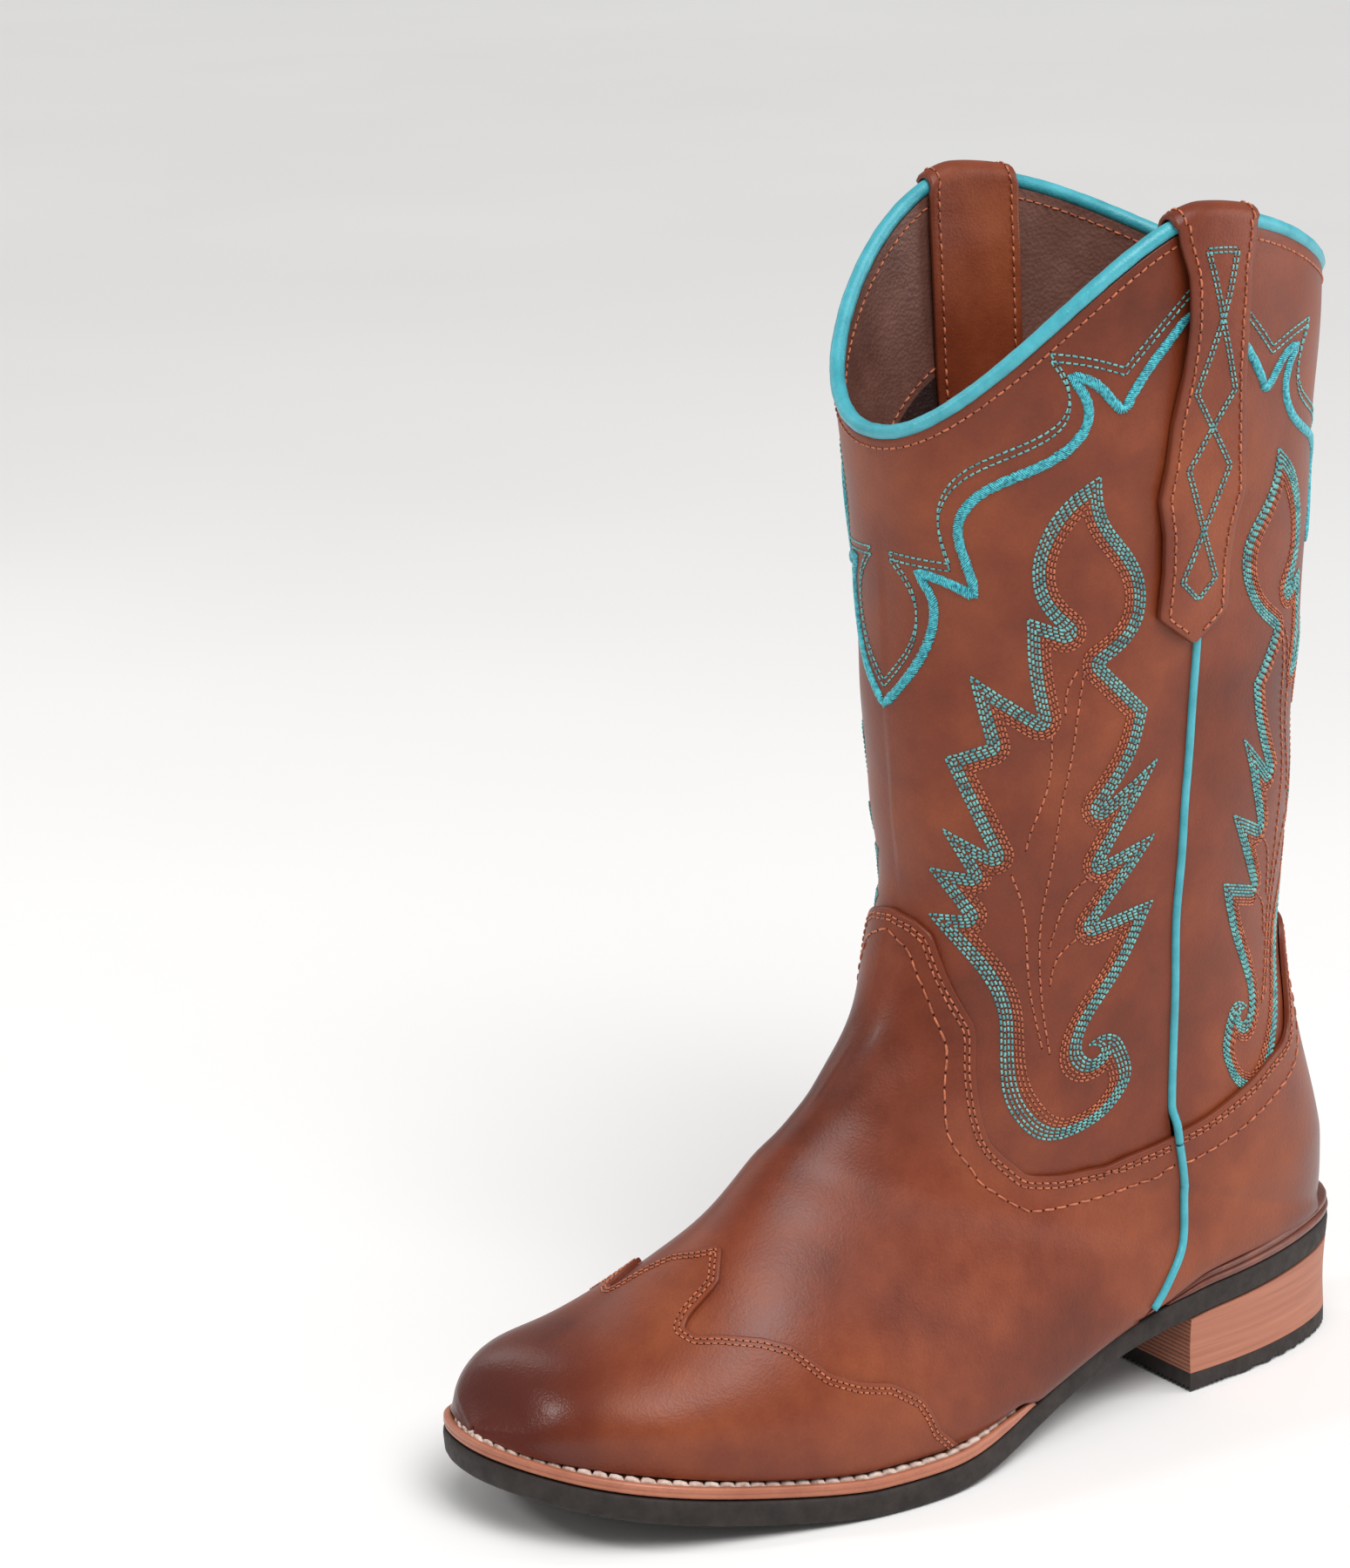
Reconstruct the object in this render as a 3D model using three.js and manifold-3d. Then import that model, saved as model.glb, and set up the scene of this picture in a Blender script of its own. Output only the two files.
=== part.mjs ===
// Western boot, left foot, in millimetres: toe to -Y, outer side of the leg to +X, ground at z = 0.
// Every leather piece is a slab between two offsets of one boot form, cut along its own seams.
import * as THREE from "three";
import { mergeVertices } from "three/addons/utils/BufferGeometryUtils.js";
import Module from "manifold-3d";

const wasm = await Module();
wasm.setup();

// Driving dimensions.
const SOLE_HALF_LENGTH = 143;
const OUTSOLE = 7.5;
const WELT = 3.4;
const WELT_WIDTH = 9;
const GAP = 0.4;
const HEEL_BREAST = 70.6;
const TREAD = { ball: -52, toeSpring: 14.2, toeCurve: 1.3, arch: [-28, 82], pitch: 22.5, slope: 0.065 };
const LIFT = 5.3;
const SEAM_Y = 60;
const SEAM_LEAN = 2.2; // how far the side seam leans back down the leg, and over which section rows
const LEAN_ROWS = [3.5, 6];
const SEAM_BOW = 4.6; // how far it bows back at the ankle, and over which rows
const BOW_ROWS = [6.4, 8.3];
const SEAM_SWING = 15.5; // how far it swings forward where it meets the sole, and over which rows
const SWING_ROWS = [10.2, 12.75];
const SEAM_CLEARANCE = 1.8;
const INSOLE_BOARD = 2.4;
const SOCK_LINING = 2.6;
const PIPING_RADIUS = 1.1;
const BEAD_RADIUS = 2.3;
const BEAD_DEPTH = 1.35; // the bead's centre, inside the form
const FACING_DEPTH = 55;
// Collar: y of its highest point, half length, heights, and how fast it drops to the front and the back.
const COLLAR = {
  y: 52.2, reach: 71.4, front: 276.8, side: 339.2, back: 312.2, frontFall: 1.6, backFall: 1.8,
};
// Pull strap: y, thickness, heights of its lower tip, of its fold and of its inner end, half width inside,
// and how far its upper part stands off the shaft.
const STRAP = { y: 57, thick: 1.6, tip: 224, fold: 339.2, inner: 262, half: 15, standOff: 1.6, clear: 0.45 };
const SHANK = { front: 3, back: 92, middle: 1, half: 8, crown: 1, thick: 1.1, above: 2.4 };
const NAIL = { radius: 1.2, length: 22, clearance: 0.4, at: [[11, 92], [-9, 92], [13, 117], [-11, 117]] };

// Layers, as offsets from the form: [inner face, outer face].
const OVERLAY = [0.6, 1.9];
const FOOT = [-1.2, 0.2];
const MIDDLE = [-2.8, -2.0];
const LINING = [-4.6, -3.6];
const QUARTER_LINING = [-5.4, -4.5];
const SHAFT = [-1.4, 0];
const SHAFT_LINING = [-3.0, -2.1];
const TUCK = 1.6; // how far the shaft steps in under the vamp and the counter
const FEATHER_HEIGHT = 12; // height over which the leather turns in to the sole

// The form: sections that stand level in the shaft, swing round the instep and stand upright in the foot.
// Each row: front or top point y, z; back or bottom point y, z; half width; where the width peaks;
// half width at the feather line; sideways shift. From row 8 on the back point rides on the seat.
const STATIONS = [
  [-19, 350, 123, 350, 55, 0.5, 0, 0],
  [-16, 300, 124, 305, 53.5, 0.5, 0, 0],
  [-12, 250, 122.5, 255, 48, 0.5, 0, 0],
  [-10.5, 205, 121, 205, 43.5, 0.5, 0, 0],
  [-8.5, 168, 120, 155, 39.5, 0.5, 0, 0],
  [-11.5, 138.5, 123.5, 112, 36.5, 0.5, 0, 0],
  [-19, 120, 132, 80, 34.5, 0.52, 0, 0.5],
  [-28, 108.5, 137.5, 57, 33.5, 0.56, 0, 1],
  [-35, 101, 137.5, 0, 32.5, 0.62, 0, 1],
  [-41, 96, 134.5, 0, 32, 0.66, 12, 1],
  [-47, 91.5, 124, 0, 32, 0.7, 21, 1],
  [-53, 87.5, 104, 0, 32.5, 0.72, 27, 1],
  [-59.5, 83, 78, 0, 33.5, 0.74, 29, 2.5],
  [-66.5, 77.5, 45, 0, 35.5, 0.76, 29.5, 4],
  [-74.5, 71.5, 12, 0, 39.5, 0.78, 34, 5],
  [-84.5, 64, -25, 0, 44, 0.8, 42, 4],
  [-95.5, 55, -62, 0, 45, 0.78, 44, 1],
  [-107.5, 48, -92, 0, 41, 0.74, 41, -3],
  [-119, 44, -113, 0, 35, 0.7, 35.5, -7],
  [-127.5, 38.5, -128, 0, 26, 0.7, 27, -10],
  [-132.5, 31.5, -135.5, 0, 15, 0.7, 16, -12],
  [-138.5, 25.6, -138.5, 0, 0, 0.7, 0, -12.5],
];
const SPLIT = 8; // the section row where the back seam opens into the sole
const POWER_UP = 2.15; // roundness of a section above its widest place, and below it
const POWER_DOWN = 2.3;
const HEEL_POWER_DROP = 0.6; // the form draws in sooner above the heel seat, between these section rows
const DRAWN_IN = [7.6, 8.8];
const LET_OUT = [10, 12.2];
const TOE = STATIONS.length - 1;

// Sole outline: angle along the sole from the toe in degrees, outer x, inner x.
const OUTLINE = [
  [0, -11, -11],
  [14, 7.5, -30],
  [27, 25, -40.5],
  [41, 38, -47],
  [56, 46, -49],
  [70, 51.5, -47.5],
  [82, 50, -39],
  [94, 40.5, -28],
  [106, 34, -24.5],
  [119, 33, -26],
  [134, 30, -28],
  [149, 23, -24.5],
  [162, 15, -15.5],
  [180, 1, 1],
];

// Vamp edge over the instep and counter edge round the heel: angle round the leg in degrees, section row.
const VAMP_EDGE = [
  [0, 4.55], [12, 4.6], [20, 4.7], [28, 5.1], [41, 5.7], [44, 6.3], [49, 7], [55, 7.8], [63, 8.6],
  [70, 9.3], [76, 8.99], [78.4, 8.6], [81, 8.1], [86.4, 7.64], [90.3, 7.4], [95, 7.12],
];
const COUNTER_EDGE = [
  [90, 7.4], [98, 7], [110, 6.3], [126, 5.8], [142, 5.5], [147, 5.1], [152, 4.7], [160, 4.6], [180, 4.55],
];
const TOE_EDGE = [
  [0, 14], [9, 14.05], [22, 14.8], [24, 15.7], [29, 15.8], [38, 15.65], [52, 15.1], [75, 15.1],
  [91, 14.9], [105, 14.7], [130, 14.8], [180, 14.95],
];

// Half width of the pull strap by height, from its pointed lower end to its fold.
const STRAP_WIDTH = [
  [224, 0.8], [232, 12.2], [245, 11.6], [255, 12.2], [265, 14.6], [274, 13.2], [285, 12.4], [298, 10.6],
  [312, 9.9], [326, 10.6], [335, 13], [346, 14],
];

const clamp = (v, a, b) => Math.min(b, Math.max(a, v));
const smooth = (u) => clamp(u, 0, 1) ** 2 * (3 - 2 * clamp(u, 0, 1));
const share = (v, [from, to]) => clamp((v - from) / (to - from), 0, 1);
const rad = THREE.MathUtils.degToRad;
const range = (n, a = 0, b = 1) => Array.from({ length: n }, (_, i) => a + ((b - a) * i) / (n - 1));

// Natural cubic spline through (x, y); linear interpolation through a list of pairs.
function spline(x, y) {
  const n = x.length;
  const m = new Array(n).fill(0);
  const c = new Array(n).fill(0);
  const h = x.slice(1).map((v, i) => v - x[i]);
  for (let i = 1; i < n - 1; i++) {
    const d = 6 * ((y[i + 1] - y[i]) / h[i] - (y[i] - y[i - 1]) / h[i - 1]);
    const w = 2 * (h[i - 1] + h[i]) - h[i - 1] * c[i - 1];
    c[i] = h[i] / w;
    m[i] = (d - h[i - 1] * m[i - 1]) / w;
  }
  for (let i = n - 2; i > 0; i--) m[i] -= c[i] * m[i + 1];
  return (q) => {
    const v = clamp(q, x[0], x[n - 1]);
    let i = 0;
    while (i < n - 2 && v > x[i + 1]) i++;
    const a = (x[i + 1] - v) / h[i];
    const b = 1 - a;
    return a * y[i] + b * y[i + 1] + (((a ** 3 - a) * m[i] + (b ** 3 - b) * m[i + 1]) * h[i] ** 2) / 6;
  };
}
function linear(pairs) {
  return (q) => {
    let i = 0;
    while (i < pairs.length - 2 && q > pairs[i + 1][0]) i++;
    const [[x0, y0], [x1, y1]] = [pairs[i], pairs[i + 1]];
    return y0 + (y1 - y0) * clamp((q - x0) / (x1 - x0), 0, 1);
  };
}

// Bottom of the outsole: flat under the ball, toe spring ahead of it, arch and heel pitch behind it.
function tread(y) {
  const { ball, toeSpring, toeCurve, arch, pitch, slope } = TREAD;
  if (y < ball) return toeSpring * ((ball - y) / (SOLE_HALF_LENGTH + ball)) ** toeCurve;
  return pitch * smooth((y - arch[0]) / (arch[1] - arch[0])) + slope * Math.max(0, y - HEEL_BREAST);
}
// Where the upper stands: on the welt in front, on the rand at the heel, on the outsole between them.
const bandLow = (y) => tread(y) + OUTSOLE + GAP;
const seat = (y) => bandLow(y) + WELT * (1 - smooth((y - 2) / 9) + smooth((y - 58) / 20)) + 1.5 * GAP;
const insoleLevel = (y) => tread(y) + OUTSOLE + WELT + 3 * GAP;

const rows = STATIONS.map((_, i) => i);
const column = (k) => spline(rows, STATIONS.map((r) => r[k]));
const [frontY, frontZ, backY, , width, peak, , shift] = [0, 1, 2, 3, 4, 5, 6, 7].map(column);
const backZ = spline(
  rows.slice(0, SPLIT + 1),
  STATIONS.slice(0, SPLIT + 1).map((r, i) => (i < SPLIT ? r[3] : seat(r[2]))),
);
const featherWidth = spline(rows.slice(SPLIT), STATIONS.slice(SPLIT).map((r) => r[6]));

function form(s, angle) {
  const a = angle > Math.PI ? angle - 2 * Math.PI : angle < -Math.PI ? angle + 2 * Math.PI : angle;
  const t = (1 - Math.cos(a)) / 2;
  const p = peak(s);
  const w = Math.max(0, width(s));
  const edge = s > SPLIT ? Math.max(0, featherWidth(s)) : 0;
  const up = (1 - clamp(1 - t / p, 0, 1) ** POWER_UP) ** (1 / POWER_UP);
  const power = POWER_DOWN - HEEL_POWER_DROP * smooth(share(s, DRAWN_IN)) * (1 - smooth(share(s, LET_OUT)));
  const down = (1 - clamp((t - p) / (1 - p), 0, 1) ** power) ** (1 / power);
  const half = t < p ? w * up : edge + (w - edge) * down;
  const by = backY(s);
  const bz = s > SPLIT ? seat(by) : backZ(s);
  return new THREE.Vector3(
    shift(s) + Math.sign(a) * half,
    frontY(s) + (by - frontY(s)) * t,
    frontZ(s) + (bz - frontZ(s)) * t,
  );
}
function normalAt(s, a) {
  const e = 0.004;
  const ds = form(Math.min(s + e, TOE), a).sub(form(Math.max(s - e, 0), a));
  const da = form(s, a + e).sub(form(s, a - e));
  const n = ds.cross(da).normalize();
  // Near the seat the leather stands on the welt, so it grows sideways only.
  const p = form(s, a);
  if (Math.cos(a) < 0) n.z *= smooth((p.z - seat(p.y)) / FEATHER_HEIGHT);
  return n.normalize();
}
const skin = (s, a, off) => form(s, a).addScaledVector(normalAt(s, a), off);

// Angle of the side seam in a section, and the form's outer x at a place on its side.
const seamY = (s) =>
  SEAM_Y +
  SEAM_LEAN * smooth(share(s, LEAN_ROWS)) +
  SEAM_BOW * smooth(share(s, BOW_ROWS)) -
  SEAM_SWING * share(s, SWING_ROWS) ** 3;
function seamAngle(s) {
  if (backY(s) <= seamY(s)) return Math.PI;
  return Math.acos(1 - (2 * (seamY(s) - frontY(s))) / (backY(s) - frontY(s)));
}
function solve(f, a, b) {
  const sign = Math.sign(f(a));
  for (let i = 0; i < 40; i++) {
    const m = (a + b) / 2;
    if (Math.sign(f(m)) === sign) a = m;
    else b = m;
  }
  return (a + b) / 2;
}
function placeOnSide(y, z) {
  const t = (s) => clamp((y - frontY(s)) / (backY(s) - frontY(s)), 0, 1);
  const level = (s) => frontZ(s) + (backZ(s) - frontZ(s)) * t(s) - z;
  const s = solve(level, 0, SPLIT);
  return [s, Math.acos(1 - 2 * t(s))];
}

// Height of the collar's rolled edge, and the section row where a line at some angle meets a height below it.
function collar(y) {
  const c = clamp((COLLAR.y - y) / COLLAR.reach, -1, 1);
  const [end, fall] = c > 0 ? [COLLAR.front, COLLAR.frontFall] : [COLLAR.back, COLLAR.backFall];
  return COLLAR.side + (end - COLLAR.side) * Math.abs(c) ** fall;
}
function rowBelowCollar(a, drop) {
  return solve((s) => form(s, a).z - (collar(form(s, a).y) - drop), 0, 3.5);
}
// The same, with the depth measured square to the collar's slope.
function rowUnderBead(a, depth) {
  const [p, q] = [a - 0.05, a + 0.05].map((b) => form(rowBelowCollar(b, 0), b));
  return rowBelowCollar(a, (depth * p.distanceTo(q)) / Math.hypot(q.x - p.x, q.y - p.y));
}
const tuck = (s) => -TUCK * smooth((s - 3.7) / 0.8);

// A closed solid between two grids of points; with wrap the columns close on themselves.
function slab(outer, inner, wrap = false) {
  const m = outer.length;
  const n = outer[0].length;
  const points = [...outer.flat(), ...inner.flat()];
  const at = (side, i, j) => side * m * n + i * n + (j % n);
  const faces = [];
  const quad = (a, b, c, d) => faces.push(a, b, c, a, c, d);
  const across = wrap ? n : n - 1;
  for (let i = 0; i < m - 1; i++) {
    for (let j = 0; j < across; j++) {
      quad(at(0, i, j), at(0, i + 1, j), at(0, i + 1, j + 1), at(0, i, j + 1));
      quad(at(1, i, j), at(1, i, j + 1), at(1, i + 1, j + 1), at(1, i + 1, j));
    }
    if (!wrap) {
      quad(at(0, i, 0), at(1, i, 0), at(1, i + 1, 0), at(0, i + 1, 0));
      quad(at(0, i + 1, n - 1), at(1, i + 1, n - 1), at(1, i, n - 1), at(0, i, n - 1));
    }
  }
  for (let j = 0; j < across; j++) {
    quad(at(0, 0, j), at(0, 0, j + 1), at(1, 0, j + 1), at(1, 0, j));
    quad(at(0, m - 1, j + 1), at(0, m - 1, j), at(1, m - 1, j), at(1, m - 1, j + 1));
  }
  return solid(points, faces);
}
function solid(points, faces) {
  let volume = 0;
  for (let i = 0; i < faces.length; i += 3) {
    const [a, b, c] = [points[faces[i]], points[faces[i + 1]], points[faces[i + 2]]];
    volume += a.dot(b.clone().cross(c));
  }
  if (volume < 0) faces.reverse();
  return body(points.flatMap((p) => [p.x, p.y, p.z]), faces);
}
function body(numbers, corners) {
  const vertProperties = new Float32Array(numbers);
  const triVerts = new Uint32Array(corners);
  return new wasm.Manifold(new wasm.Mesh({ numProp: 3, vertProperties, triVerts }));
}
// A round cord along points, with a surface normal at each.
function cord(path, normals, radius, closed = false, sides = 6) {
  const n = path.length;
  const rings = path.map((p, i) => {
    const ahead = path[closed ? (i + 1) % n : Math.min(i + 1, n - 1)];
    const behind = path[closed ? (i + n - 1) % n : Math.max(i - 1, 0)];
    const along = ahead.clone().sub(behind).normalize();
    const side = along.clone().cross(normals[i]).normalize();
    const up = side.clone().cross(along);
    return range(sides + 1, 0, 2 * Math.PI)
      .slice(0, sides)
      .map((q) => {
        const reach = side.clone().multiplyScalar(radius * Math.cos(q));
        return reach.addScaledVector(up, radius * Math.sin(q)).add(p);
      });
  });
  const points = rings.flat();
  const faces = [];
  for (let i = 0; i < (closed ? n : n - 1); i++) {
    for (let j = 0; j < sides; j++) {
      const [a, b] = [i * sides + j, i * sides + ((j + 1) % sides)];
      const [c, d] = [((i + 1) % n) * sides + ((j + 1) % sides), ((i + 1) % n) * sides + j];
      faces.push(a, b, c, a, c, d);
    }
  }
  if (!closed) {
    for (let j = 1; j < sides - 1; j++) {
      faces.push(0, j + 1, j, (n - 1) * sides, (n - 1) * sides + j, (n - 1) * sides + j + 1);
    }
  }
  return solid(points, faces);
}

// Leather pieces: a grid of (section row, angle) pairs made solid between two layers.
function leather(grid, layer, step = () => 0, wrap = false) {
  const face = (k) => grid.map((line) => line.map(([s, a]) => skin(s, a, layer[k] + step(s))));
  return slab(face(1), face(0), wrap);
}
const degrees = (a) => Math.abs(THREE.MathUtils.radToDeg(a));
const gapAngle = (s, d) => (2 * d) / (backY(s) - frontY(s));

// Front of the foot: columns run from the vamp edge to the toe, between the side seams and then the
// feather lines. All toe pieces share angles and section rows, so that their layers stay parallel.
const TOE_ROWS = [17, 18, 19, 20, 20.5];
const BEND = 15.9;
const turned = (lines) => lines[0].map((_, i) => lines.map((line) => line[i]));
const EVEN = rad(95); // columns stand evenly over this angle, and gather beyond it at the feather line
const spread = (f, limit) => f * EVEN + (limit - EVEN) * f ** 5;
const COLUMNS = range(25, -1, 1);
function frontGrid(edge, along, ahead, from = 0, margin = 0) {
  const limit = (s) => {
    const seam = seamAngle(s) - (backY(s) > seamY(s) ? gapAngle(s, SEAM_CLEARANCE + margin) : 0);
    return Math.min(seam, Math.PI - margin);
  };
  const lines = COLUMNS.map((f) => {
    const top = edge(degrees(spread(f, limit(along[0])))) + from;
    const body = along.map((s) => {
      const v = (s - along[0]) / (BEND - along[0]);
      return [top + (BEND - top) * v, spread(f, limit(s))];
    });
    return [...body, ...ahead.map((s) => [s, spread(f, Math.PI - margin)])];
  });
  return turned(lines);
}
// Back of the foot: columns run from the counter edge down to the feather line.
const SEAM_DEGREES = 97; // angle of the side seam at the counter's top corner
const SEAM_FOOT = 12.75; // section row where the side seam meets the sole
function backGrid(edge, cols, count, trim = 0, from = 0, margin = 0) {
  const first = edge(SEAM_DEGREES) + from;
  const beta = (v) => {
    const s = first + (SEAM_FOOT - first) * v;
    return Math.max(0, Math.PI - seamAngle(s) - gapAngle(s, 1.5 * SEAM_CLEARANCE + margin));
  };
  const lines = range(cols, -1, 1).map((g) => {
    const side = g < 0 ? 1 : -1;
    const top = edge(180 - THREE.MathUtils.radToDeg(Math.abs(g) * beta(0))) + from;
    const bottom = SPLIT + (SEAM_FOOT - SPLIT) * Math.abs(g);
    const angle = (v) => side * (Math.PI - Math.abs(g) * beta(v));
    return range(count, 0, 1 - trim).map((v) => [top + (bottom - top) * v, angle(v)]);
  });
  return turned(lines);
}
// Shaft panels: columns run from below the collar to a lower edge, between two angles.
function shaftGrid(lower, start, stop, cols, count) {
  const lines = range(cols).map((f) => {
    const angle = (s) => start(s) + (stop(s) - start(s)) * f;
    const top = rowUnderBead(angle(1), BEAD_RADIUS + 1.5 * GAP);
    const bottom = lower(angle(6));
    return range(count).map((v) => {
      const s = top + (bottom - top) * v;
      return [s, angle(s)];
    });
  });
  return turned(lines);
}

// Sole outline at an angle along the sole, moved in by some distance.
const outer = spline(OUTLINE.map((r) => r[0]), OUTLINE.map((r) => r[1]));
const inner = spline(OUTLINE.map((r) => r[0]), OUTLINE.map((r) => r[2]));
function rim(deg, inset) {
  const y = -(SOLE_HALF_LENGTH - inset) * Math.cos(rad(deg));
  const pinch = Math.sin(rad(deg));
  const shrink = inset * pinch ** 0.25;
  return { y, out: outer(deg) - shrink, in: inner(deg) + shrink };
}
const rimAngle = (y, inset) => THREE.MathUtils.radToDeg(Math.acos(-y / (SOLE_HALF_LENGTH - inset)));
function plate(start, stop, count, topInset, lowInset, top, low, cols = 5) {
  const face = (inset, z) => {
    const a = typeof start === "number" ? start : start(inset);
    const b = typeof stop === "number" ? stop : stop(inset);
    return range(count, a, b).map((deg) => {
      const r = rim(deg, inset);
      return range(cols, r.in, r.out).map((x) => new THREE.Vector3(x, r.y, z(r.y)));
    });
  };
  return slab(face(topInset, top), face(lowInset, low));
}
// A band that follows the rim, from one side round an end of the sole to the other side.
function band(angles, section) {
  const corner = (q, [inset, z]) => {
    const r = rim(Math.abs(q), inset);
    return new THREE.Vector3(q > 0 ? r.out : r.in, r.y, z(r.y));
  };
  const grid = (corners) => angles.map((q) => corners.map((c) => corner(q, c)));
  return slab(grid(section.slice(0, 2)), grid(section.slice(2)));
}

const pieces = {};

// Sole unit.
const SOLE_BEVEL = 0.6;
pieces.outsole = plate(4, 176, 30, 0, SOLE_BEVEL, (y) => tread(y) + OUTSOLE, tread);
const weltEnd = rimAngle(9, 0);
const weltTop = (y) => bandLow(y) + WELT * (1 - 0.75 * smooth((y + 3) / 11));
pieces.welt = band(
  range(37, -weltEnd + 3, weltEnd),
  [[0.3, bandLow], [0.3, weltTop], [WELT_WIDTH, bandLow], [WELT_WIDTH, weltTop]],
);
const randEnd = rimAngle(64, 0);
const randAngles = [...range(15, -randEnd, -176), ...range(15, 176, randEnd)];
const randTop = (y) => bandLow(y) + WELT * (0.25 + 0.75 * smooth((y - 60) / 18));
pieces.heel_rand = band(randAngles, [[-0.8, bandLow], [-0.8, randTop], [7, bandLow], [7, randTop]]);
pieces.cork_filler = plate(10, (d) => rimAngle(-2, d), 18, 10, 10, (y) => insoleLevel(y) - GAP, bandLow);
const boardTop = (y) => insoleLevel(y) + INSOLE_BOARD;
pieces.insole_board = plate(9, 171, 22, 12.5, 12.5, boardTop, insoleLevel);
const sockLow = (y) => boardTop(y) + GAP;
pieces.sock_lining = plate(9, 171, 22, 13.5, 13.5, (y) => sockLow(y) + SOCK_LINING, sockLow);
const shankFace = (height) =>
  range(12, SHANK.front, SHANK.back).map((y) =>
    [-1, 0, 1].map((u) => {
      const z = tread(y) + OUTSOLE + height - SHANK.crown * u ** 2;
      return new THREE.Vector3(SHANK.middle + SHANK.half * u, y, z);
    }),
  );
pieces.steel_shank = slab(shankFace(SHANK.above), shankFace(SHANK.above - SHANK.thick));
const breast = (d) => rimAngle(HEEL_BREAST, d);
const INSET = { top: 0.4, low: 0.7, lift: 0.7 };
pieces.heel_block = plate(breast, 176, 12, INSET.top, INSET.low, (y) => tread(y) - GAP, () => LIFT + GAP);
pieces.heel_top_lift = plate(breast, 176, 12, INSET.lift, INSET.lift, () => LIFT, () => 0);

// Heel nails, driven through the heel seat of the outsole into the block. The holes run out of the top.
function pin(radius, x, y, low, high) {
  const shape = new THREE.CylinderGeometry(radius, radius, high - low, 10);
  shape.deleteAttribute("normal");
  shape.deleteAttribute("uv");
  shape.rotateX(Math.PI / 2).translate(x, y, (low + high) / 2);
  const { attributes, index } = mergeVertices(shape);
  return body(attributes.position.array, index.array);
}
NAIL.at.forEach(([x, y], i) => {
  const top = tread(y) + OUTSOLE - GAP;
  const low = top - NAIL.length;
  const hole = pin(NAIL.radius + NAIL.clearance, x, y, low - NAIL.clearance, top + OUTSOLE);
  pieces.outsole = pieces.outsole.subtract(hole);
  pieces.heel_block = pieces.heel_block.subtract(hole);
  pieces["heel_nail_" + (i + 1)] = pin(NAIL.radius, x, y, low, top);
});

// Foot of the upper.
const SEAM_ROWS = [
  7.1, 7.7, 8.3, 9.3, 10.3, 11, 11.5, 11.9, 12.2, 12.45, 12.7, 12.85, 13.3, 14.1, 15, BEND,
];
const vampEdge = linear(VAMP_EDGE);
const counterEdge = linear(COUNTER_EDGE);
const toeEdge = linear(TOE_EDGE);
const TOE_TIP = TOE - 0.04;
pieces.vamp = leather(frontGrid(vampEdge, SEAM_ROWS, [...TOE_ROWS, TOE_TIP]), FOOT);
pieces.vamp_lining = leather(frontGrid(vampEdge, SEAM_ROWS.slice(3), [17, 18, 19], 2.2, 0.4), LINING);
const toeAngles = COLUMNS.map((f) => spread(f, Math.PI));
const overlayRows = (a) => [...range(3, toeEdge(degrees(a)), BEND), ...TOE_ROWS, TOE_TIP];
const OVERLAY_REACH = 2.9; // angle at which the overlay's edge goes under the feather line
const overlayAngles = toeAngles.map((a) => clamp(a, -OVERLAY_REACH, OVERLAY_REACH));
pieces.toe_overlay = leather(turned(overlayAngles.map((a) => overlayRows(a).map((s) => [s, a]))), OVERLAY);
pieces.toe_puff = leather(turned(toeAngles.slice(2, 23).map((a) => TOE_ROWS.map((s) => [s, a]))), MIDDLE);
pieces.heel_counter = leather(backGrid(counterEdge, 25, 19), FOOT);
const TRIM = 0.12; // share of a hidden layer's height that is cut away above the feather line
const stiffenerEdge = (deg) => 7 + Math.min(1, (180 - deg) / 60);
pieces.counter_stiffener = leather(backGrid(stiffenerEdge, 21, 7, TRIM, 0, GAP), MIDDLE);
pieces.quarter_lining = leather(backGrid(counterEdge, 21, 9, TRIM, 1.6, GAP), QUARTER_LINING);

// Shaft panels, stitched along the two side seams.
const HEM = 0.9; // section rows that a panel runs on under the vamp or the counter
const seam = (s) => seamAngle(s) - gapAngle(s, SEAM_CLEARANCE);
const backSeam = (s) => seamAngle(s) + gapAngle(s, SEAM_CLEARANCE);
const frontHem = (a) => vampEdge(degrees(a)) + HEM;
const backHem = (a) => counterEdge(degrees(a > Math.PI ? 2 * Math.PI - a : a)) + HEM;
const farSeam = (s) => 2 * Math.PI - backSeam(s);
pieces.shaft_front = leather(shaftGrid(frontHem, (s) => -seam(s), seam, 21, 14), SHAFT, tuck);
pieces.shaft_back = leather(shaftGrid(backHem, backSeam, farSeam, 19, 12), SHAFT, tuck);

// Linings of the shaft, all the way round.
const around = (cols, count, upper, lower) => {
  const angles = range(cols + 1, -Math.PI, Math.PI).slice(0, cols);
  const lines = angles.map((a) => {
    const top = upper(a);
    const bottom = lower(a);
    return range(count).map((v) => [top + (bottom - top) * v, a]);
  });
  return turned(lines);
};
const facingHem = (a) => rowBelowCollar(a, FACING_DEPTH);
const facingTop = (a) => rowUnderBead(a, BEAD_RADIUS + 2 * GAP);
const liningTop = (a) => rowBelowCollar(a, FACING_DEPTH + 1);
const liningHem = (a) => (degrees(a) < 98 ? vampEdge(degrees(a)) + 1.7 : counterEdge(degrees(a)) + 1.1);
pieces.top_facing = leather(around(36, 4, facingTop, facingHem), SHAFT_LINING, tuck, true);
pieces.shaft_lining = leather(around(36, 10, liningTop, liningHem), SHAFT_LINING, tuck, true);

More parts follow.
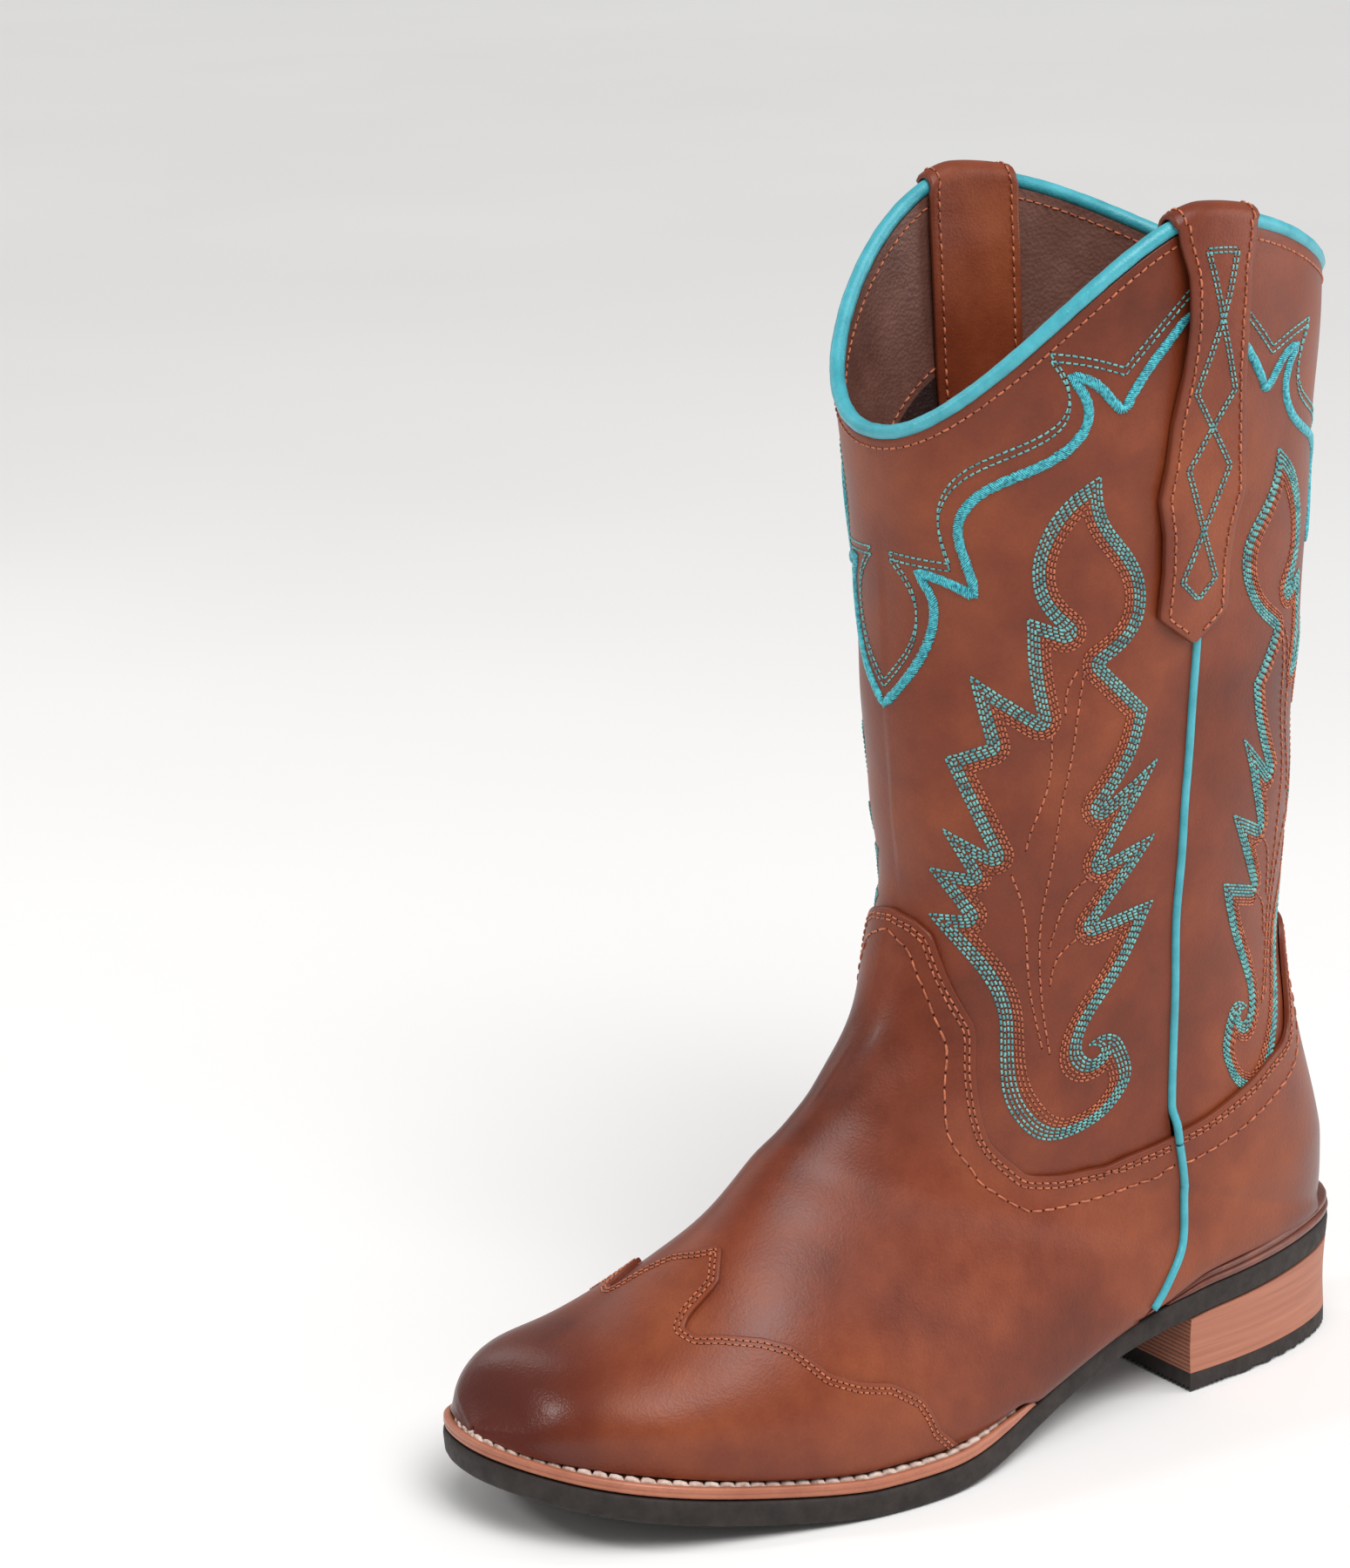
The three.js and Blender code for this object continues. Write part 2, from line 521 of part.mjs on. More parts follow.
// Rolled bead on the collar.
const beadAngles = range(49, -Math.PI, Math.PI).slice(0, 48);
const beadRows = beadAngles.map((a) => rowBelowCollar(a, 0));
pieces.top_bead = cord(
  beadAngles.map((a, i) => skin(beadRows[i], a, -BEAD_DEPTH)),
  beadAngles.map((a, i) => normalAt(beadRows[i], a)),
  BEAD_RADIUS,
  true,
);

// Piping in the side seams: one run in the shaft, one in the foot, on each side.
const SIDES = [["lateral", 1], ["medial", -1]];
const PIPING = { shaftFoot: 7.15, foot: [7.4, 12.5], shaftLift: -0.2, footLift: 0.3 };
const [pipingTop] = placeOnSide(SEAM_Y, collar(SEAM_Y) - BEAD_RADIUS - SEAM_CLEARANCE);
const shaftRun = range(18, pipingTop, PIPING.shaftFoot).map((s) => [s, seamAngle(s)]);
const footRun = range(15, ...PIPING.foot).map((s) => [s, seamAngle(s)]);
for (const [name, side] of SIDES) {
  const piping = (places, lift) =>
    cord(
      places.map(([s, a]) => skin(s, side * a, lift(s))),
      places.map(([s, a]) => normalAt(s, side * a)),
      PIPING_RADIUS,
    );
  pieces["shaft_piping_" + name] = piping(shaftRun, (s) => PIPING.shaftLift + tuck(s));
  pieces["foot_piping_" + name] = piping(footRun, () => PIPING.footLift);
}

// Pull straps: up the outside, folded over the collar and down the inside.
const strapWidth = linear(STRAP_WIDTH);
const LOOSE_FROM = 285; // the strap is free of the leg from here up to its fold
const rise = (z) => STRAP.standOff * Math.sin(Math.PI * share(z, [LOOSE_FROM, STRAP.fold]));
const settle = (y, z) => (collar(y) - COLLAR.side) * smooth((z - LOOSE_FROM) / (STRAP.fold - LOOSE_FROM));
const SHAFT_TOP = 342;
const sideX = (y, z) => {
  const [s, a] = placeOnSide(y, Math.min(z, SHAFT_TOP));
  return form(s, a).x;
};
// The strap's spine: height, distance out from the shaft, half width.
function strapSpine() {
  const radius = BEAD_RADIUS + STRAP.clear;
  const outside = radius - BEAD_DEPTH;
  const inside = -radius - BEAD_DEPTH;
  const up = range(14, STRAP.tip, STRAP.fold).map((z) => [z, outside + rise(z), strapWidth(z)]);
  const over = range(7, 0, Math.PI)
    .slice(1, -1)
    .map((q) => [STRAP.fold + radius * Math.sin(q), radius * Math.cos(q) - BEAD_DEPTH, STRAP.half]);
  const down = range(6, STRAP.fold, STRAP.inner).map((z) => [z, inside, STRAP.half]);
  return [...up, ...over, ...down];
}
const spine = strapSpine();
for (const [name, side] of SIDES) {
  const face = (grow) =>
    spine.map(([z, out, half], i) => {
      const [z0, out0] = spine[Math.max(i - 1, 0)];
      const [z1, out1] = spine[Math.min(i + 1, spine.length - 1)];
      const length = Math.hypot(z1 - z0, out1 - out0);
      const across = (grow * (z1 - z0)) / length;
      const along = (-grow * (out1 - out0)) / length;
      return range(5, -half, half).map((u) => {
        const y = STRAP.y + u;
        const level = z + settle(y, z);
        return new THREE.Vector3(side * (sideX(y, level) + out + across), y, level + along);
      });
    });
  pieces["pull_strap_" + name] = slab(face(STRAP.thick), face(0));
}

// Colours for the separate materials.
const COLOURS = {
  leather: 0x96553c, dark: 0x5f3426, turquoise: 0x55bfcd, lining: 0x4a3a36, facing: 0x6b5148,
  rubber: 0x2c2927, wood: 0xbe8269, welt: 0xb97a52, cork: 0xb08a5a, board: 0xb9a07c, steel: 0x9a9da1,
};
const LOOK = {
  outsole: "rubber", welt: "welt", heel_rand: "dark", cork_filler: "cork", insole_board: "board",
  sock_lining: "facing", steel_shank: "steel", heel_block: "wood", heel_top_lift: "rubber", vamp: "leather",
  vamp_lining: "lining", toe_overlay: "leather", toe_puff: "board", heel_counter: "leather",
  counter_stiffener: "board", quarter_lining: "lining", shaft_front: "leather", shaft_back: "leather",
  top_facing: "facing", shaft_lining: "lining", top_bead: "turquoise", heel_nail: "steel",
  shaft_piping: "turquoise", foot_piping: "turquoise", pull_strap: "leather",
};

// The origin is the middle of the boot's footprint on the ground.
const boxes = Object.values(pieces).map((p) => p.boundingBox());
const lowest = (k) => Math.min(...boxes.map((b) => b.min[k]));
const highest = (k) => Math.max(...boxes.map((b) => b.max[k]));
const middleOf = (k) => (lowest(k) + highest(k)) / 2;
const centre = [-middleOf(0), -middleOf(1), 0];

const boot = new THREE.Group();
boot.name = "cowboy_boot";
for (const [name, piece] of Object.entries(pieces)) {
  const mesh = piece.translate(centre).getMesh();
  const geometry = new THREE.BufferGeometry();
  geometry.setAttribute("position", new THREE.BufferAttribute(new Float32Array(mesh.vertProperties), 3));
  geometry.setIndex(new THREE.BufferAttribute(new Uint32Array(mesh.triVerts), 1));
  const look = LOOK[name] ?? LOOK[name.replace(/_(lateral|medial|\d)$/, "")];
  const material = new THREE.MeshStandardMaterial({ color: COLOURS[look], roughness: 0.6 });
  const node = new THREE.Mesh(geometry, material);
  node.name = name;
  boot.add(node);
}

export default boot;
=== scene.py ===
import math

import bmesh
import bpy
import numpy as np
from mathutils import Matrix, Vector


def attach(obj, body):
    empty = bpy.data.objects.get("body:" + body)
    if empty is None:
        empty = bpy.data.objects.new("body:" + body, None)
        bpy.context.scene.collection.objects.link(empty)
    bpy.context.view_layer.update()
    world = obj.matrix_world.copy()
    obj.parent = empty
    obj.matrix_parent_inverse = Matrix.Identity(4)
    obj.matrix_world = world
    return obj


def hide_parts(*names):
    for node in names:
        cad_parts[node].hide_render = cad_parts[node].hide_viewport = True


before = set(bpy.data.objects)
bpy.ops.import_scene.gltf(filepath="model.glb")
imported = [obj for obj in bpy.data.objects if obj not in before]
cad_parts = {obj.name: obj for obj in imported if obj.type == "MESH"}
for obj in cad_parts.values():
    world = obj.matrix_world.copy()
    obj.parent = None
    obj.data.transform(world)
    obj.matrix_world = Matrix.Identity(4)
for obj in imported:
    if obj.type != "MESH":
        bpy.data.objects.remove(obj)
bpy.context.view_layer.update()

# Western boot, left foot. Shapes are worked out in millimetres, toe to -Y, outer side of the leg to +X, and
# turned into metres when a mesh is made. The form below is the one that the frame's pieces stand on.
# A pair such as LEAN says where a change starts, in section rows or in mm, and over how much it goes on.
SOLE_HALF_LENGTH = 143
OUTSOLE = 7.5
WELT = 3.4
GAP = 0.4
HEEL_BREAST = 70.6
LIFT = 5.3
INSOLE_BOARD = 2.4
SEAM_Y = 60
SEAM_LEAN = 2.2  # how far the side seam leans back down the leg
SEAM_BOW = 4.6  # how far it bows back at the ankle
SEAM_SWING = 15.5  # how far it swings forward to the sole
LEAN, BOW, SWING = (3.5, 2.5), (6.4, 1.9), (10.2, 2.55)
BINDING_RADIUS = 2.3
BINDING_DEPTH = 1.35
FACING_DEPTH = 55
FEATHER_HEIGHT = 12  # height over which the leather turns in to the sole
TUCK = 1.6  # how far the leg steps in under the vamp and the counter
FULL_ABOVE = 2.15  # roundness of a section above its widest place, and below it
FULL_BELOW = 2.3
HEEL_SLACK = 0.6  # the sections are less round above the heel's seat
SLACK_FROM, SLACK_TO = (7.6, 1.2), (12.2, 2.2)
HEEL_PULL = 0.9  # how far the leather is drawn in at the heel, ahead of its back
PULL_HEIGHT, PULL_FROM, PULL_TO = 12, (68, 20), (112, 26)
WAVE, FOLD = 0.55, 0.35  # heights of the leather's long and short waves
TREAD = {"ball": -52, "toe_spring": 14.2, "toe_curve": 1.3, "arch": (-28, 82), "pitch": 22.5, "slope": 0.065}
COLLAR = {"y": 52.2, "reach": 71.4, "front": 276.8, "side": 339.2, "back": 312.2}
STRAP = {
    "y": 57, "thick": 1.6, "half": 15, "tip": 224, "fold": 339.2, "inner": 262, "stand_off": 1.6,
    "clear": 0.45,
}
LOOSE_FROM = 285  # the strap is free of the leg from here up to its fold
SHAFT_TOP = 342

# Front or top point y, z; back or bottom point y, z; half width; where it peaks; half width at the feather
# line; sideways shift. From row SPLIT on the back point rides on the seat.
STATIONS = np.array([
    [-19, 350, 123, 350, 55, 0.5, 0, 0],
    [-16, 300, 124, 305, 53.5, 0.5, 0, 0],
    [-12, 250, 122.5, 255, 48, 0.5, 0, 0],
    [-10.5, 205, 121, 205, 43.5, 0.5, 0, 0],
    [-8.5, 168, 120, 155, 39.5, 0.5, 0, 0],
    [-11.5, 138.5, 123.5, 112, 36.5, 0.5, 0, 0],
    [-19, 120, 132, 80, 34.5, 0.52, 0, 0.5],
    [-28, 108.5, 137.5, 57, 33.5, 0.56, 0, 1],
    [-35, 101, 137.5, 0, 32.5, 0.62, 0, 1],
    [-41, 96, 134.5, 0, 32, 0.66, 12, 1],
    [-47, 91.5, 124, 0, 32, 0.7, 21, 1],
    [-53, 87.5, 104, 0, 32.5, 0.72, 27, 1],
    [-59.5, 83, 78, 0, 33.5, 0.74, 29, 2.5],
    [-66.5, 77.5, 45, 0, 35.5, 0.76, 29.5, 4],
    [-74.5, 71.5, 12, 0, 39.5, 0.78, 34, 5],
    [-84.5, 64, -25, 0, 44, 0.8, 42, 4],
    [-95.5, 55, -62, 0, 45, 0.78, 44, 1],
    [-107.5, 48, -92, 0, 41, 0.74, 41, -3],
    [-119, 44, -113, 0, 35, 0.7, 35.5, -7],
    [-127.5, 38.5, -128, 0, 26, 0.7, 27, -10],
    [-132.5, 31.5, -135.5, 0, 15, 0.7, 16, -12],
    [-138.5, 25.6, -138.5, 0, 0, 0.7, 0, -12.5],
])
SPLIT = 8
TOE = len(STATIONS) - 1
# Sole outline: angle along the sole from the toe in degrees, outer x, inner x.
OUTLINE = np.array([
    [0, -11, -11], [14, 7.5, -30], [27, 25, -40.5], [41, 38, -47], [56, 46, -49], [70, 51.5, -47.5],
    [82, 50, -39], [94, 40.5, -28], [106, 34, -24.5], [119, 33, -26], [134, 30, -28], [149, 23, -24.5],
    [162, 15, -15.5], [180, 1, 1],
])
# Edges of the leather pieces and the vamp's far row of stitches: angle round the leg in degrees, section
# row. The toe overlay's edge leans to one side.
VAMP_EDGE = [
    (0, 4.55), (12, 4.6), (20, 4.7), (28, 5.1), (41, 5.7), (44, 6.3), (49, 7), (55, 7.8), (63, 8.6),
    (70, 9.3), (76, 8.99), (78.4, 8.6), (81, 8.1), (86.4, 7.64), (90.3, 7.4), (95, 7.12), (112, 6.2),
]
COUNTER_EDGE = [
    (78, 7.9), (90, 7.3), (98, 6.94), (110, 6.35), (126, 5.8), (142, 5.5), (147, 5.1), (152, 4.7),
    (160, 4.6), (180, 4.55),
]
TOE_EDGE = [
    (-180, 14.95), (-150, 14.9), (-126, 14.72), (-112, 14.77), (-104, 15), (-94, 15.14), (-76, 15.1),
    (-66, 15.27), (-56, 15.62), (-51, 15.86), (-46, 15.88), (-43, 15.7), (-40, 15.25), (-36, 15.1),
    (-31, 15.4), (-26, 15.85), (-21, 15.9), (-14, 15.25), (-6, 14.75), (3, 14.45), (10, 14.12), (12, 14.15),
    (17, 14.5), (22.5, 14.85), (23.5, 15.6), (27, 15.88), (34, 15.86), (40, 15.62), (52, 15.27), (62, 15.1),
    (80, 15.14), (90, 15), (98, 14.77), (112, 14.72), (135, 14.9), (180, 14.95),
]
VAMP_ROW = [
    (0, 4.75), (12, 4.9), (23, 5.4), (32, 5.9), (35, 6.1), (38, 6.7), (42, 7.3), (45, 7.8), (51, 8.6),
    (58, 9.4), (63, 10), (73, 10.6), (80, 10.9), (83, 10.8), (86, 10.4), (88.5, 9.8), (91, 9.1), (92.5, 8.1),
    (97, 7.6),
]
# Height up the strap, half width.
STRAP_WIDTH = [
    (224, 0.8), (232, 12.2), (245, 11.6), (255, 12.2), (265, 14.6), (274, 13.2), (285, 12.4), (298, 10.6),
    (312, 9.9), (326, 10.6), (335, 13), (346, 14),
]
SIDES = (("lateral", 1), ("medial", -1))
RNG = np.random.default_rng(7)


# ---- Curves and the form

def smooth(u):
    c = np.clip(u, 0, 1)
    return c * c * (3 - 2 * c)


def rising(v, start, over):
    """From 0 to 1 as v goes up from start."""
    return smooth((v - start) / over)


def falling(v, stop, over):
    """From 1 to 0 as v goes up to stop."""
    return smooth((stop - v) / over)


def unit(v):
    return v / (np.linalg.norm(v, axis=-1, keepdims=True) + 1e-12)


def spline(x, y):
    """Natural cubic spline through (x, y)."""
    x, y = np.asarray(x, float), np.asarray(y, float)
    h, n = np.diff(x), len(x)
    left, right = np.eye(n), np.zeros(n)
    for i in range(1, n - 1):
        left[i, i - 1:i + 2] = h[i - 1], 2 * (h[i - 1] + h[i]), h[i]
        right[i] = 6 * ((y[i + 1] - y[i]) / h[i] - (y[i] - y[i - 1]) / h[i - 1])
    m = np.linalg.solve(left, right)

    def at(q):
        q = np.clip(q, x[0], x[-1])
        i = np.clip(np.searchsorted(x, q, side="right") - 1, 0, n - 2)
        a = (x[i + 1] - q) / h[i]
        b = 1 - a
        bend = ((a**3 - a) * m[i] + (b**3 - b) * m[i + 1]) * h[i] ** 2 / 6
        return a * y[i] + b * y[i + 1] + bend

    return at


def run_of(path):
    """Each point's distance along a polyline from its start."""
    return np.concatenate([[0], np.cumsum(np.linalg.norm(np.diff(path, axis=0), axis=1))])


def read_table(at, table):
    return np.interp(at, *np.array(table).T)


def edge_line(table, soften):
    """An edge as a function of the angle in degrees, its corners rounded over some degrees."""
    fine = np.arange(-210, 210.1, 0.25)
    rows = read_table(fine, table)
    reach = np.arange(-4 * soften, 4 * soften + 0.1, 0.25)
    weight = np.exp(-(reach**2) / (2 * soften**2))
    padded = np.pad(rows, len(reach) // 2, mode="edge")
    rounded = np.convolve(padded, weight / weight.sum(), mode="valid")
    return lambda degrees: np.interp(degrees, fine, rounded[:len(fine)])


def bisect(f, low, high, steps=40):
    """Where f, positive at low, crosses zero; low and high are arrays."""
    for _ in range(steps):
        mid = (low + high) / 2
        above = f(mid) > 0
        low, high = np.where(above, mid, low), np.where(above, high, mid)
    return (low + high) / 2


def tread(y):
    """Height of the sole's underside."""
    ahead = np.maximum(TREAD["ball"] - y, 0) / (SOLE_HALF_LENGTH + TREAD["ball"])
    low, high = TREAD["arch"]
    spring = TREAD["toe_spring"] * ahead ** TREAD["toe_curve"]
    arch = TREAD["pitch"] * rising(y, low, high - low)
    return spring + arch + TREAD["slope"] * np.maximum(0, y - HEEL_BREAST)


def band_low(y):
    """Height of the welt's and the rand's underside."""
    return tread(y) + OUTSOLE + GAP


def seat(y):
    """Height at which the upper meets the sole."""
    return band_low(y) + WELT * (1 - rising(y, 2, 9) + rising(y, 58, 20)) + 1.5 * GAP


def easy_seat(y):
    """The seat with its steps drawn out, as the leather above the feather line feels them."""
    return band_low(y) + WELT * (1 - smooth((y + 18) / 50) + rising(y, 40, 50)) + 1.5 * GAP


ROWS = np.arange(len(STATIONS))
front_y, front_z, back_y, half_width, peak, shift = (spline(ROWS, STATIONS[:, k]) for k in (0, 1, 2, 4, 5, 7))
LEG_BACK = [*STATIONS[:SPLIT, 3], seat(STATIONS[SPLIT, 2])]
leg_back_z = spline(ROWS[:SPLIT + 1], LEG_BACK)
feather_width = spline(ROWS[SPLIT:], STATIONS[SPLIT:, 6])


def form(s, a):
    """The boot's form: section row s, angle a round it from the front or top (0) to the back or bottom."""
    s, a = np.broadcast_arrays(np.asarray(s, float), np.asarray(a, float))
    a = np.where(a > np.pi, a - 2 * np.pi, np.where(a < -np.pi, a + 2 * np.pi, a))
    t, p = (1 - np.cos(a)) / 2, peak(s)
    w = np.maximum(0, half_width(s))
    edge = np.where(s > SPLIT, np.maximum(0, feather_width(s)), 0)
    up = (1 - np.clip(1 - t / p, 0, 1) ** FULL_ABOVE) ** (1 / FULL_ABOVE)
    power = FULL_BELOW - HEEL_SLACK * rising(s, *SLACK_FROM) * falling(s, *SLACK_TO)
    down = (1 - np.clip((t - p) / (1 - p), 0, 1) ** power) ** (1 / power)
    half = np.where(t < p, w * up, edge + (w - edge) * down)
    fy, fz, by = front_y(s), front_z(s), back_y(s)
    bz = np.where(s > SPLIT, easy_seat(by), leg_back_z(s))
    step = np.where(s > SPLIT, seat(by) - easy_seat(by), 0)
    y, z = fy + (by - fy) * t, fz + (bz - fz) * t + step * t**12
    low = smooth((PULL_HEIGHT - z + seat(y)) / PULL_HEIGHT)
    pull = HEEL_PULL * low * rising(y, *PULL_FROM) * (1 - rising(y, *PULL_TO))
    half = np.maximum(half - pull * (t > p) * smooth((s - SPLIT) / 2), 0)
    return np.stack([shift(s) + np.sign(a) * half, y, z], -1)


def normal(s, a):
    """Direction out from the form; it lies level at the sole."""
    e = 0.004
    ds = form(np.minimum(s + e, TOE), a) - form(np.maximum(s - e, 0), a)
    n = unit(np.cross(ds, form(s, a + e) - form(s, a - e)))
    p = form(s, a)
    fade = np.where(np.cos(a) < 0, smooth((p[..., 2] - seat(p[..., 1])) / FEATHER_HEIGHT), 1)
    return unit(n * np.stack([np.ones_like(fade), np.ones_like(fade), fade], -1))


def relief(p):
    """Soft waves of the leg's leather, in millimetres out from the form."""
    x, y, z = p[..., 0], p[..., 1], p[..., 2]
    leg = rising(z, 92, 40) * falling(z, 322, 50)
    wave = WAVE * np.sin(z / 17 + 1.4 * np.sin(y / 21 + 0.6) + x / 40)
    fold = FOLD * np.sin(z / 8.5 + y / 11 + 1.2 * np.sin(z / 29))
    return leg * (wave * np.sin(y / 14 + z / 47 + np.sign(x) * 0.8) + fold * np.sin(y / 23 - z / 33))


def skin(s, a, off):
    """Points of a layer of leather, off mm out from the form."""
    p = form(s, a)
    return p + normal(s, a) * (off + relief(p))[..., None]


def seam_y(s):
    start, over = SWING
    back = SEAM_LEAN * rising(s, *LEAN) + SEAM_BOW * rising(s, *BOW)
    return SEAM_Y + back - SEAM_SWING * np.clip((s - start) / over, 0, 1) ** 3


def seam_angle(s):
    c = 1 - 2 * (seam_y(s) - front_y(s)) / np.maximum(back_y(s) - front_y(s), 1e-6)
    return np.where(back_y(s) <= seam_y(s), np.pi, np.arccos(np.clip(c, -1, 1)))


def gap_angle(s, d):
    """The angle that a width of d mm takes up at the side of the leg."""
    return 2 * d / (back_y(s) - front_y(s))


def tuck(s):
    return -TUCK * rising(s, 3.7, 0.8)


def collar(y):
    """Height of the collar's line."""
    c = np.clip((COLLAR["y"] - y) / COLLAR["reach"], -1, 1)
    ahead = (COLLAR["front"] - COLLAR["side"]) * np.maximum(c, 0) ** 1.6
    return COLLAR["side"] + ahead + (COLLAR["back"] - COLLAR["side"]) * np.maximum(-c, 0) ** 1.8


def row_below_collar(a, drop):
    def height(s):
        p = form(s, a)
        return p[..., 2] - (collar(p[..., 1]) - drop)

    a = np.asarray(a, float)
    return bisect(height, np.zeros(a.shape), np.full(a.shape, 3.5))


def row_under_binding(a, depth):
    p, q = (form(row_below_collar(a + e, 0), a + e) for e in (-0.05, 0.05))
    slope = np.linalg.norm(p - q, axis=-1) / np.hypot(q[..., 0] - p[..., 0], q[..., 1] - p[..., 1])
    return row_below_collar(a, depth * slope)


def place_on_side(y, z):
    """Row and angle of a place on the leg's side."""
    y, z = np.broadcast_arrays(np.asarray(y, float), np.asarray(z, float))

    def share(s):
        return np.clip((y - front_y(s)) / (back_y(s) - front_y(s)), 0, 1)

    def height(s):
        return front_z(s) + (leg_back_z(s) - front_z(s)) * share(s) - z

    s = bisect(height, np.zeros(y.shape), np.full(y.shape, SPLIT))
    return s, np.arccos(1 - 2 * share(s))


# ---- Places on the leg by the distance round it from the front or back line, and by height

CHART_END = 9
CHART_ROWS, CHART_ANGLES = 180, 240
CHART = form(
    np.linspace(0, CHART_END, CHART_ROWS + 1)[:, None], np.linspace(0, np.pi, CHART_ANGLES + 1)[None, :]
)
GIRTH = np.array([run_of(ring) for ring in CHART])


def girth(s, a):
    """Distance round the leg from its front line."""
    u = np.clip(s / CHART_END * CHART_ROWS, 0, CHART_ROWS - 0.001)
    v = np.clip(a / np.pi * CHART_ANGLES, 0, CHART_ANGLES - 0.001)
    i, j = u.astype(int), v.astype(int)
    f, g = u - i, v - j
    low = GIRTH[i, j] * (1 - g) + GIRTH[i, j + 1] * g
    high = GIRTH[i + 1, j] * (1 - g) + GIRTH[i + 1, j + 1] * g
    return low * (1 - f) + high * f


def on_leg(x, z, from_back=False):
    """Row and angle of a place x mm round from the front line, or from the back line, at height z."""
    x, z = np.asarray(x, float), np.asarray(z, float)
    s, a = np.full(x.shape, 3.0), np.full(x.shape, 1.2)
    for _ in range(14):
        slope = (form(s + 0.01, a)[..., 2] - form(s - 0.01, a)[..., 2]) / 0.02
        s = np.clip(s - (form(s, a)[..., 2] - z) / np.minimum(slope, -5), 0, 8.9)
        target = girth(s, np.full(a.shape, np.pi)) - x if from_back else x
        a = np.clip(a - (girth(s, a) - target) / 55, 0, np.pi)
    return s, a


# ---- Meshes

def grid_quads(rows, cols, wrap_rows=False, wrap_cols=False):
    """Faces of a grid of points, numbered row by row."""
    last_row, last_col = (rows if wrap_rows else rows - 1), (cols if wrap_cols else cols - 1)
    i, j = np.meshgrid(np.arange(last_row), np.arange(last_col), indexing="ij")
    i2, j2 = (i + 1) % rows, (j + 1) % cols
    return np.stack([i * cols + j, i2 * cols + j, i2 * cols + j2, i * cols + j2], -1).reshape(-1, 4)


def volume(points, quads):
    a, b, c, d = (points[quads[:, k]] for k in range(4))
    return (np.einsum("ij,ij->", a, np.cross(b, c)) + np.einsum("ij,ij->", a, np.cross(c, d))) / 6


def weld_points(mesh):
    """Joins the points that lie together."""
    joined = bmesh.new()
    joined.from_mesh(mesh)
    bmesh.ops.remove_doubles(joined, verts=joined.verts, dist=1e-6)
    joined.to_mesh(mesh)
    joined.free()


def make(name, points, quads, material, slot, replaces=(), sharp=None, weld=False, **attributes):
    """A mesh object from points in mm; its faces are turned out, and it rides on the boot."""
    points = np.asarray(points, float).reshape(-1, 3)
    if volume(points, quads) < 0:
        quads = quads[:, ::-1]
    mesh = bpy.data.meshes.new(name)
    mesh.vertices.add(len(points))
    mesh.vertices.foreach_set("co", (points / 1000).astype(np.float32).ravel())
    mesh.loops.add(quads.size)
    mesh.loops.foreach_set("vertex_index", quads.astype(np.int32).ravel())
    mesh.polygons.add(len(quads))
    mesh.polygons.foreach_set("loop_start", np.arange(0, quads.size, 4, dtype=np.int32))
    mesh.update(calc_edges=True)
    mesh.validate()
    if weld:
        weld_points(mesh)
    mesh.shade_smooth()
    if sharp:
        mesh.set_sharp_from_angle(angle=math.radians(sharp))
    for key, values in attributes.items():
        layer = mesh.attributes.new(key, "FLOAT", "POINT")
        layer.data.foreach_set("value", np.asarray(values, np.float32).ravel())
    mesh.materials.append(material)
    obj = bpy.data.objects.new(name, mesh)
    bpy.context.scene.collection.objects.link(obj)
    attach(obj, "root")
    if replaces:
        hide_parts(*replaces)
    return obj


def slab(outer, inner, wrap=False):
    """Points and faces of the solid between two grids of points."""
    rows, cols = outer.shape[:2]
    n = rows * cols
    face = grid_quads(rows, cols, wrap_cols=wrap)
    ends = grid_quads(2, cols, wrap_cols=wrap)
    parts = [face, face[:, ::-1] + n]
    for line, turn in ((0, 1), (rows - 1, -1)):
        strip = np.where(ends < cols, ends + line * cols, ends - cols + n + line * cols)
        parts.append(strip[:, ::turn])
    if not wrap:
        sides = grid_quads(rows, 2)
        for line, turn in ((0, -1), (cols - 1, 1)):
            strip = np.where(sides % 2 == 0, sides // 2 * cols + line, sides // 2 * cols + line + n)
            parts.append(strip[:, ::turn])
    return np.concatenate([outer.reshape(-1, 3), inner.reshape(-1, 3)]), np.concatenate(parts)


def rounded(outer, inner, radius, wrap=False):
    """The outer grid with its borders turned in over a radius, and each point's distance from the border."""
    def from_start(axis):
        step = np.linalg.norm(np.diff(outer, axis=axis), axis=-1)
        first = np.zeros_like(np.take(step, [0], axis=axis))
        return np.concatenate([first, np.cumsum(step, axis=axis)], axis=axis)

    down = from_start(0)
    distance = np.minimum(down, down[-1:] - down)
    if not wrap:
        across = from_start(1)
        distance = np.minimum(distance, np.minimum(across, across[:, -1:] - across))
    left = np.clip(radius - distance, 0, radius)
    drop = radius - np.sqrt(radius**2 - left**2)
    return outer + unit(inner - outer) * drop[..., None], distance


def paced(count, length, fine=0.5):
    """Fractions from 0 to 1 with extra lines near both ends, for a rounded border."""
    start = np.array([0, 0.1, 0.35, 1]) * fine / length
    middle = np.linspace(start[-1], 1 - start[-1], count)[1:-1]
    return np.concatenate([start, middle, 1 - start[::-1]])


def relaxed(points, where, times=120):
    """A grid of points whose creases are eased out where a mask says so; its borders stay."""
    points, share = points.copy(), 0.5 * where[1:-1, 1:-1, None]
    for _ in range(times):
        mean = (points[:-2, 1:-1] + points[2:, 1:-1] + points[1:-1, :-2] + points[1:-1, 2:]) / 4
        points[1:-1, 1:-1] += share * (mean - points[1:-1, 1:-1])
    return points


